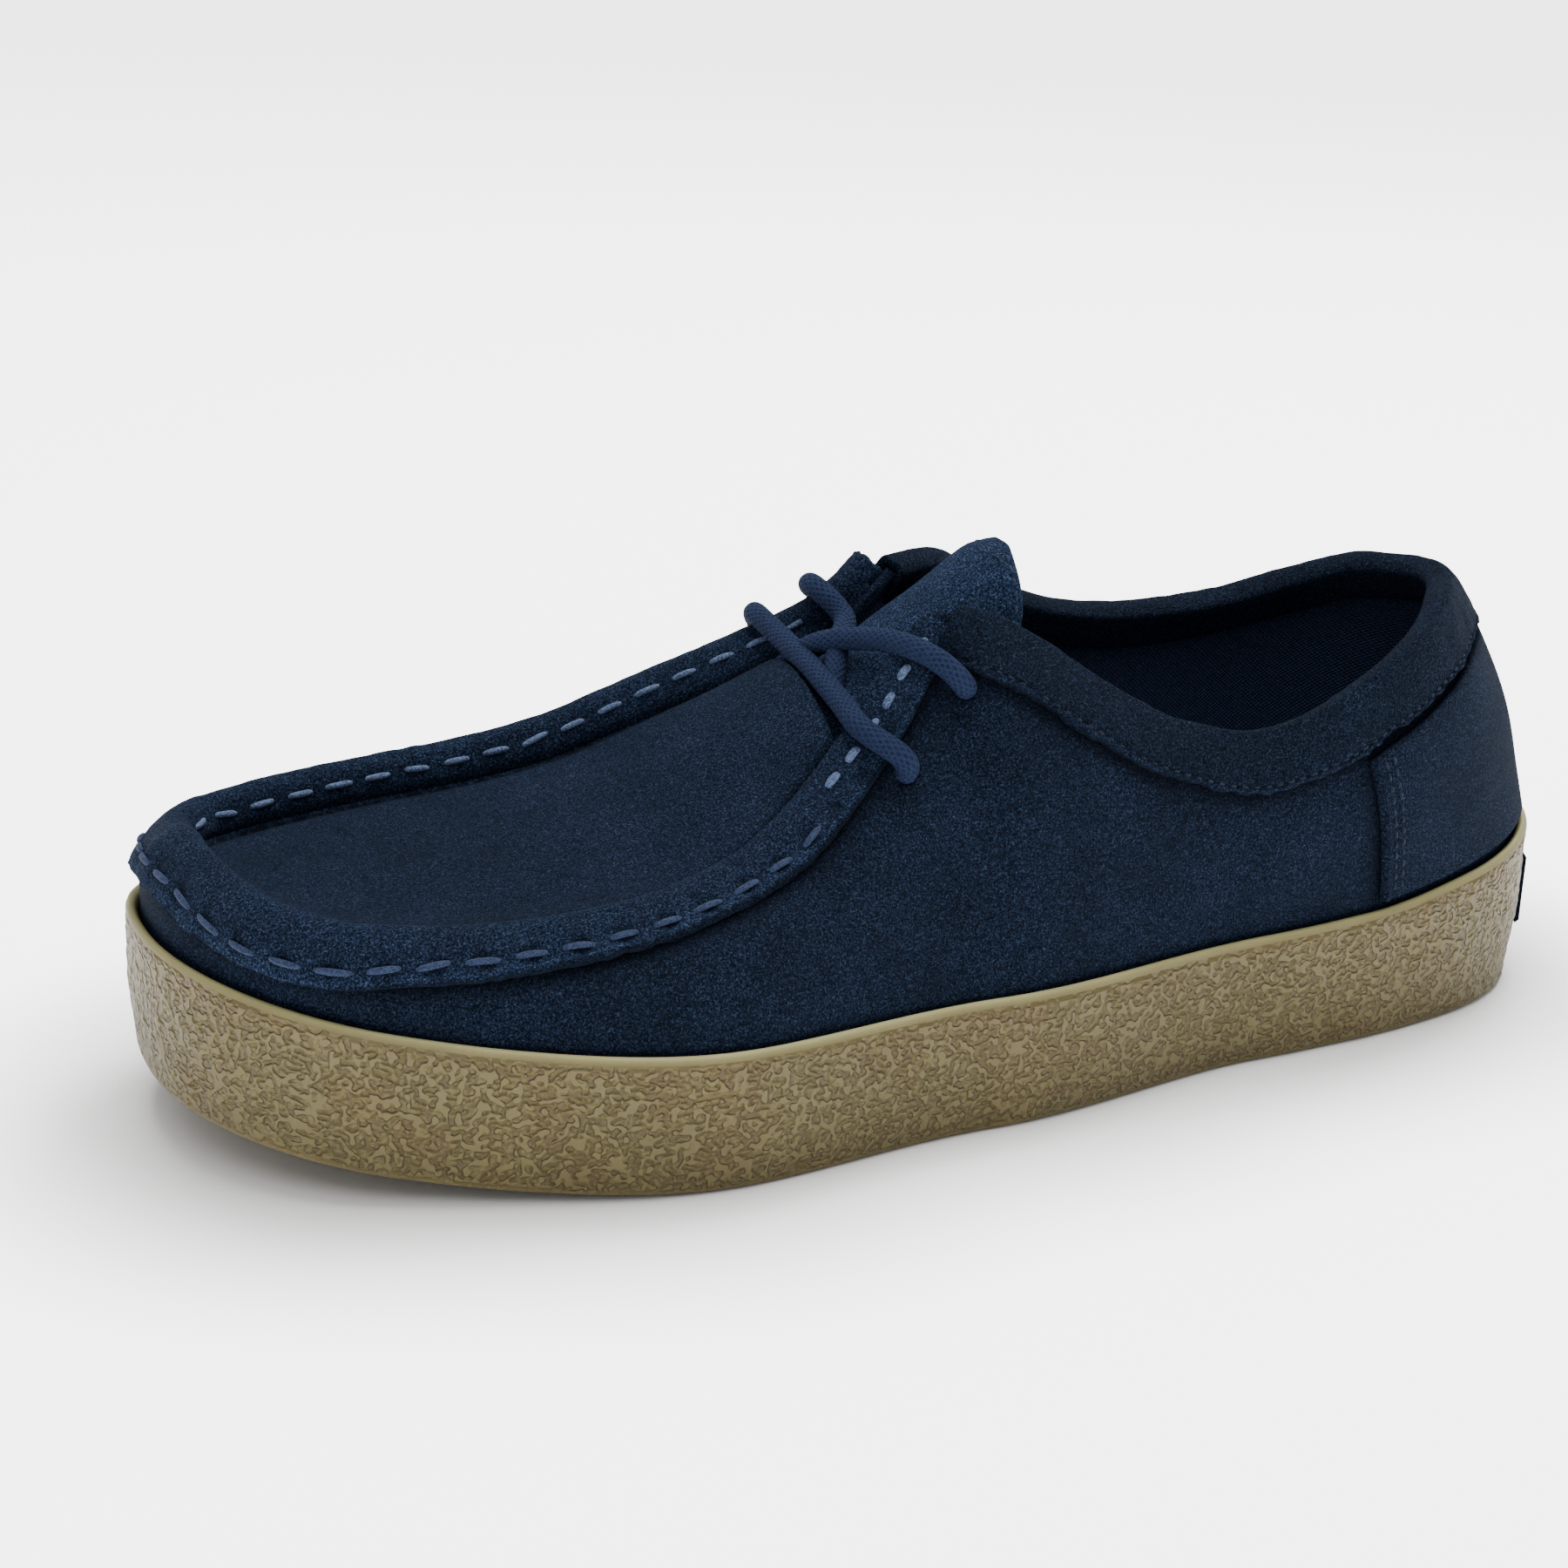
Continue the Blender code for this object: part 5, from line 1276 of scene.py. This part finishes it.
def buildUpper():
    throat = float(turnOf(shell["throatRay"]))
    fore = np.linspace(0, throat, upperLook["fore"])
    side = np.concatenate([fore, np.linspace(throat, 1, upperLook["rear"])[1:]])
    turns = np.concatenate([-side[::-1], side[1:-1]])
    shares = np.linspace(0, 1, upperLook["rows"]) ** 0.92
    wall = wallPoint(turns[:, None] + 0 * shares, shares + 0 * turns[:, None])
    ray = rayOf(turns)
    lip = ring(turns, sole["lipThickness"] + sole["gap"] + 0 * ray, lipAbove(ray) - sole["lipRound"] * 0.4)
    skirt = ring(turns, sole["cupWall"] + sole["gap"] + 0 * ray, floorAbove(ray) + sole["gap"])
    columns = upperLook["apronColumns"]
    width = np.linalg.norm(topEdge(fore) - topEdge(-fore), axis=1)[:, None]
    across = np.linspace(0, 1, columns)[None] + 0 * width
    parts = np.clip(np.floor(width / (0.08 * mm)), 1, columns - 1)  # near the toe its places coincide
    across = np.where(parts < columns - 1, np.rint(across * parts) / parts, across)
    apron = apronPoint(rayOf(fore)[:, None] + 0 * across, across)
    ends = fade(fore[:, None], 0.03, 0.16)
    rise = upperLook["lateralRise"] * np.exp(-((across * width / upperLook["riseWidth"]) ** 1.6)) * ends
    dip = np.exp(-(((1 - across) * width / upperLook["grooveWidth"]) ** 2)) * ends
    apron[..., 2] += rise - upperLook["grooveDepth"] * dip
    toe = len(side) - 1
    wall[toe - len(fore) + 1:toe + 1, -1] = apron[::-1, 0]
    wall[toe:toe + len(fore), -1] = apron[:, -1]
    wall = np.concatenate([skirt[:, None], lip[:, None], wall], 1)
    swell = lumps(wall, 26 * mm, 31, 0.9 * mm) + lumps(wall, 11 * mm, 32, 0.35 * mm)
    row = np.arange(wall.shape[1]) / wall.shape[1]
    inside = fade(row, 0.08, 0.28) * (1 - fade(row, 0.83, 0.97))
    wall = wall + gridNormals(wall, closed=True) * (swell * inside)[..., None]
    # Painted light and shade on the shell: painted shadow under the edges, painted shade in the medial
    # groove, and painted light on the apron towards its rear.
    rear = fade(rayOf(fore), 0.15, 0.42)[:, None]
    masks = {"shade": np.concatenate([edgeShade(wall.reshape(-1, 3)), (0.75 * dip - 0.3 * rear).ravel()])}
    patches = [patchOf(wall, closedRows=True), patchOf(apron, flip=True)]
    addPiece("suedeShell", patches, [suede, lining], "suede", ["upper"], shape=hollowOut, masks=masks)


buildUpper()


# Tongue: a padded strip with a round rim that narrows to its tip, and a stitch row round it.
tongue = {
    "tongueThickness": 3.6 * mm, "tongueHalfWidth": 18.5 * mm, "tongueSkew": 2.5 * mm,
}
tongueLook = {
    "rows": 110, "columns": 44, "edgeIn": 2.6 * mm, "tipRound": 14 * mm, "tipWiden": 0.05, "puff": 0.5 * mm,
    "stitchPitch": 3.0 * mm, "stitchLength": 1.9 * mm, "stitchRadius": 0.28 * mm, "stitchFrom": 0.45,
    "stitchEnd": 8,
}
tongueTable = (
    # ray, along, rise, radius, half
    (0.00, 0.335, 0.430, 1.80, 0.95),
    (0.20, 0.380, 0.565, 1.70, 1.00),
    (0.42, 0.430, 0.720, 1.50, 1.02),
    (0.64, 0.473, 0.860, 1.25, 1.00),
    (0.84, 0.522, 1.025, 0.88, 1.02),
    (1.00, 0.570, 1.185, 0.80, 1.04),
)


# Top face of the tongue: along it from 0 to 1, and arc length from its centre line.
def tonguePoint(along, arc):
    def middle(place):
        x = (follow(tongueTable, 1, place, flat=False) - 0.5) * sole["length"]
        return x, sole["sideHeight"] + shell["instepRise"] * follow(tongueTable, 2, place, flat=False)

    small = 0.01
    x, z = middle(along)
    (lowX, lowZ), (highX, highZ) = middle(np.clip(along - small, 0, 1)), middle(np.clip(along + small, 0, 1))
    run, climb = highX - lowX, highZ - lowZ
    size = np.hypot(run, climb)
    radius = tongue["tongueHalfWidth"] * follow(tongueTable, 3, along)
    drop = radius * (1 - np.cos(arc / radius))
    y = sole["centreShift"] + radius * np.sin(arc / radius)
    return np.stack([x + drop * climb / size, y, z - drop * run / size], -1)


def buildTongue():
    lower, upper = tongueTable[0], tongueTable[-1]
    reach = math.hypot((upper[1] - lower[1]) * sole["length"], (upper[2] - lower[2]) * shell["instepRise"])
    along = 1 - np.linspace(1, 0.0, tongueLook["rows"]) ** 2.2 - 0.0006
    toTip = (1 - along) * reach
    half = tongue["tongueHalfWidth"] * follow(tongueTable, 4, along)
    half = half * (1 + tongueLook["tipWiden"] * fade(along, 0.6, 0.95))
    half = (half * capShare(toTip / tongueLook["tipRound"], 2.6))[:, None]
    depth, columns = tongue["tongueThickness"], tongueLook["columns"]
    share = np.sin((np.linspace(0, 1, columns + 1) - 0.5) * math.pi)
    arc = (share - tongue["tongueSkew"] / tongue["tongueHalfWidth"]) * half
    top = tonguePoint(along[:, None] + 0 * arc, arc)
    normal = -gridNormals(top)
    normal *= np.sign(normal[..., 2:3] + 1e-9)
    edgeAway = (1 - np.abs(share)) * half
    rim = np.sqrt(np.clip(1 - (1 - np.clip(edgeAway / (depth / 2), 0, 1)) ** 2, 0, 1))
    rim = rim * capShare(toTip / (depth * 0.55), 2.0)[:, None]
    puff = tongueLook["puff"] * fade(edgeAway, 3.5 * mm, 7 * mm)
    puff = puff - 0.25 * mm * np.exp(-((edgeAway - tongueLook["edgeIn"]) / (0.8 * mm)) ** 2)
    bumps = lumps(top, 10 * mm, 71, 0.5 * mm)
    outer = top - normal * (depth / 2 * (1 - rim) - (puff + bumps) * rim)[..., None]
    inner = top - normal * (depth / 2 * (1 + rim))[..., None]
    piece = addPiece("tonguePad", shellSolid(outer, inner), [litTongueSuede], "suede", ["tongue"])
    first = int(tongueLook["rows"] * tongueLook["stitchFrom"])
    rows = np.arange(first, tongueLook["rows"] - tongueLook["stitchEnd"])
    middle, patches = columns // 2, []
    for way in (-1, 1):
        away = edgeAway[rows, ::-1][:, :middle]
        index = np.array([np.interp(tongueLook["edgeIn"], row, np.arange(middle)) for row in away])
        index = columns - index if way > 0 else index
        low = np.clip(index.astype(int), 0, columns - 1)
        part = (index - low)[:, None]
        line = outer[rows, low] * (1 - part) + outer[rows, low + 1] * part
        places = placesAlong(line, normal[rows, low], tongueLook["stitchPitch"], 1 * mm)
        sizes = tongueLook["stitchLength"], tongueLook["stitchRadius"]
        patches.append(stitchPatch(places, *sizes, rise=0.6, seed=8))
    addPiece("tongueStitches", patches, [thickThread], "braid")


buildTongue()


# Lace: a round braid. Its radius swells where a strand passes, and its UV map counts the strands.
lace = {
    "laceDiameter": 4.3 * mm,
}
laceLook = {
    "sides": 36, "step": 0.3 * mm, "strand": 2.4 * mm, "strands": 8, "relief": 0.025, "inside": 6.5 * mm,
    "thickness": 1.06, "bend": 9, "endRows": 5, "barLift": 0.6 * mm, "barArch": 1.2 * mm,
}
lateralOver = (
    # reach, lift
    (1.00, 0.12),
    (1.02, 0.50),
    (0.92, 0.88),
    (0.74, 1.02),
    (0.40, 1.00),
)
medialOver = (
    # reach, lift
    (1.00, 0.05),
    (1.06, 0.30),
    (0.95, 0.56),
    (0.72, 0.80),
    (0.46, 0.97),
    (0.18, 0.98),
    (-0.08, 0.80),
)
crossingOver = (
    # along, across, lift
    (0.42, 0.66, 0.55),
    (0.48, 0.45, 0.85),
    (0.55, 0.15, 1.10),
    (0.63, -0.25, 1.10),
)
returnOver = (
    # along, across, lift
    (0.67, 0.50, 0.75),
    (0.60, 0.10, 0.60),
    (0.53, -0.25, 0.60),
    (0.46, -0.50, 0.62),
)


# Place over the tongue's top face, at a lift in lace diameters.
def tongueSpot(along, across, lift):
    small = 0.01
    arc = across * tongue["tongueHalfWidth"]
    here, ahead = tonguePoint(along, arc), tonguePoint(along + small, arc)
    normal = unit(np.cross(ahead - here, tonguePoint(along, arc + small * mm) - here))
    return here + normal * lace["laceDiameter"] * lift


# Places of the lace from an eyelet up over the seam to the throat.
def seamCrossing(side, number, table):
    reach, lift = np.array(table).T
    ridge = seam["ridgeHeight"] * float(follow(ridgeTable, 2, shell["eyeletRays"][number]))
    top = seam["stripThickness"] if side < 0 else ridge
    spots, normals = eyeletSpots(side, number, reach)
    height = seam["seamGap"] + top + sole["gap"] + lace["laceDiameter"] / 2
    return list(spots + normals * (lift * height)[:, None])


# Places from an eyelet straight into the shoe, where the lace runs on.
def eyeletInside(side, number):
    spots, normals = eyeletSpots(side, number)
    return [spots[0] - normals[0] * laceLook["inside"] * share for share in (1, 0.5)]


# Grid of the lace along a path, and its UV map: the share round it and the strands along it.
def laceTube(points):
    points = np.array(points)
    key = runAlong(points)
    count = int(key[-1] / laceLook["step"])
    path = cubic(key, points, np.gradient(points, key, axis=0), np.linspace(0, key[-1], count))
    for _ in range(2):
        path = soften(path, laceLook["bend"], "reflect", reflect_type="odd")
    run = runAlong(path)[:, None]
    around = (np.arange(laceLook["sides"] + 1) / laceLook["sides"])[None]
    turn, wind = 2 * math.pi * around * laceLook["strands"], 2 * math.pi * run / laceLook["strand"]
    strands = np.maximum(np.sin(turn + wind), np.sin(turn - wind))
    radius = lace["laceDiameter"] / 2 * laceLook["thickness"] * (1 - laceLook["relief"] * (1 - strands))
    ends = np.minimum(np.arange(len(path)), np.arange(len(path))[::-1])
    radius = radius * np.sqrt(1 - (1 - np.clip(ends / laceLook["endRows"], 0, 1)) ** 2)[:, None]
    circle = tubeGrid(path, 1.0, laceLook["sides"]) - path[:, None]
    grid = path[:, None] + np.concatenate([circle, circle[:, :1]], 1) * radius[..., None]
    return grid, np.stack([around + 0 * run, run / laceLook["strand"] + 0 * around], -1).reshape(-1, 2)


def buildLace():
    near, far = seamCrossing(-1, 0, lateralOver)[::-1], seamCrossing(1, 0, medialOver)[:-1]
    near[0] = near[0] + np.array([0, 0, laceLook["barLift"]])
    taut = []
    for share in (0.2, 0.4, 0.6, 0.8):
        arch = np.array([0, 0, math.sin(math.pi * share) * laceLook["barArch"]])
        taut.append(far[-1] + (near[0] - far[-1]) * share + arch)
    bar = eyeletInside(1, 0) + far + taut + near + eyeletInside(-1, 0)[::-1]
    crossing = [tongueSpot(*row) for row in crossingOver] + seamCrossing(-1, 1, lateralOver)[::-1]
    crossing += eyeletInside(-1, 1)[::-1]
    back = eyeletInside(1, 1) + seamCrossing(1, 1, medialOver) + [tongueSpot(*row) for row in returnOver]
    grids, maps = zip(*(laceTube(path) for path in (bar, crossing, back)))
    patches = [patchOf(grid) for grid in grids]
    addPiece("laceBraid", patches, [braidCloth], "braid", ["lace"], uv=np.concatenate(maps))


buildLace()

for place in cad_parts["heel_patch"].material_slots:
    place.material = patchCloth
print("pieces done")


# Camera at the photo's angle, floor and studio light.
shot = {
    "azimuth": -24.74, "height": 18.91, "roll": 2.22, "away": 564.43 * mm,
    "target": (-23.22 * mm, 1.45 * mm, 55.47 * mm), "lens": 66.8156,
}


def addCamera():
    a, e, r = (math.radians(shot[key]) for key in ("azimuth", "height", "roll"))
    back = Vector((math.sin(a) * math.cos(e), -math.cos(a) * math.cos(e), math.sin(e)))
    right = Vector((math.cos(a), math.sin(a), 0))
    up = back.cross(right)
    rows = (right * math.cos(r) + up * math.sin(r), up * math.cos(r) - right * math.sin(r), back)
    data = bpy.data.cameras.new("camera")
    data.lens, data.sensor_width = shot["lens"], 36
    data.clip_start, data.clip_end = 0.01, 20
    camera = addObject("camera", data)
    place = Vector(shot["target"]) + back * shot["away"]
    camera.matrix_world = Matrix.Translation(place) @ Matrix(rows).transposed().to_4x4()
    bpy.context.scene.camera = camera


def addLight(name, place, aim, size, power):
    data = bpy.data.lights.new(name, "AREA")
    data.size, data.energy = size, power
    lamp = addObject(name, data)
    lamp.location = place
    lamp.rotation_euler = (Vector(aim) - Vector(place)).to_track_quat("-Z", "Y").to_euler()


# Floor in rings round the sole; away from the contact shadow it glows towards white.
floorLook = {"below": 0.03 * mm, "glowFrom": 2 * mm, "glowFull": 60 * mm, "glow": 3.0, "world": 0.7}


def addStage():
    turns = np.linspace(-1, 1, 241)[:-1]
    away = np.array([-30, -15, -6, -2, 0, 1.5, 3, 5, 8, 12, 17, 23, 30, 40, 55]) * mm
    scales = (1.3, 1.8, 3, 6, 12, 25, 50)
    rings = [ring(turns, np.full(len(turns), -step), 0.0) for step in away]
    rings += [rings[-1] * scale for scale in scales]
    grid = np.stack(rings, 1) * np.array([1, 1, 0]) - np.array([0, 0, floorLook["below"]])
    distance = np.concatenate([away, np.full(len(scales), 1.0)])
    glow = fade(distance, floorLook["glowFrom"], floorLook["glowFull"])[None] + 0 * turns[:, None]
    patches = [patchOf(grid, closedRows=True), fillRing(grid[:, 0], 3)]
    floor = addObject("floor", makeMesh("floor", patches, {"glow": glow}))
    material, tree, inputs, _ = startMaterial("paleFloor", 0.9, 0.0)
    inputs["Base Color"].default_value = (0.9, 0.9, 0.9, 1)
    inputs["Emission Strength"].default_value = floorLook["glow"]
    colour = mixColour(tree, readMask(tree, "glow"), (0.0, 0.0, 0.0), (1.0, 1.0, 1.0))
    tree.links.new(colour, inputs["Emission Color"])
    floor.data.materials.append(material)
    world = bpy.data.worlds.new("studio")
    world.use_nodes = True
    background = world.node_tree.nodes["Background"].inputs
    background[0].default_value, background[1].default_value = (1, 1, 1, 1), floorLook["world"]
    bpy.context.scene.world = world


addCamera()
addStage()
addLight("keyLight", (-0.6, -0.8, 1.4), (0, 0, 0.04), 0.8, 7)
addLight("topLight", (0.05, 0.15, 1.5), (0, 0, 0.04), 1.0, 34)
addLight("backLight", (0.8, 0.6, 1.2), (0, 0, 0.05), 0.7, 20)
print("stage set")
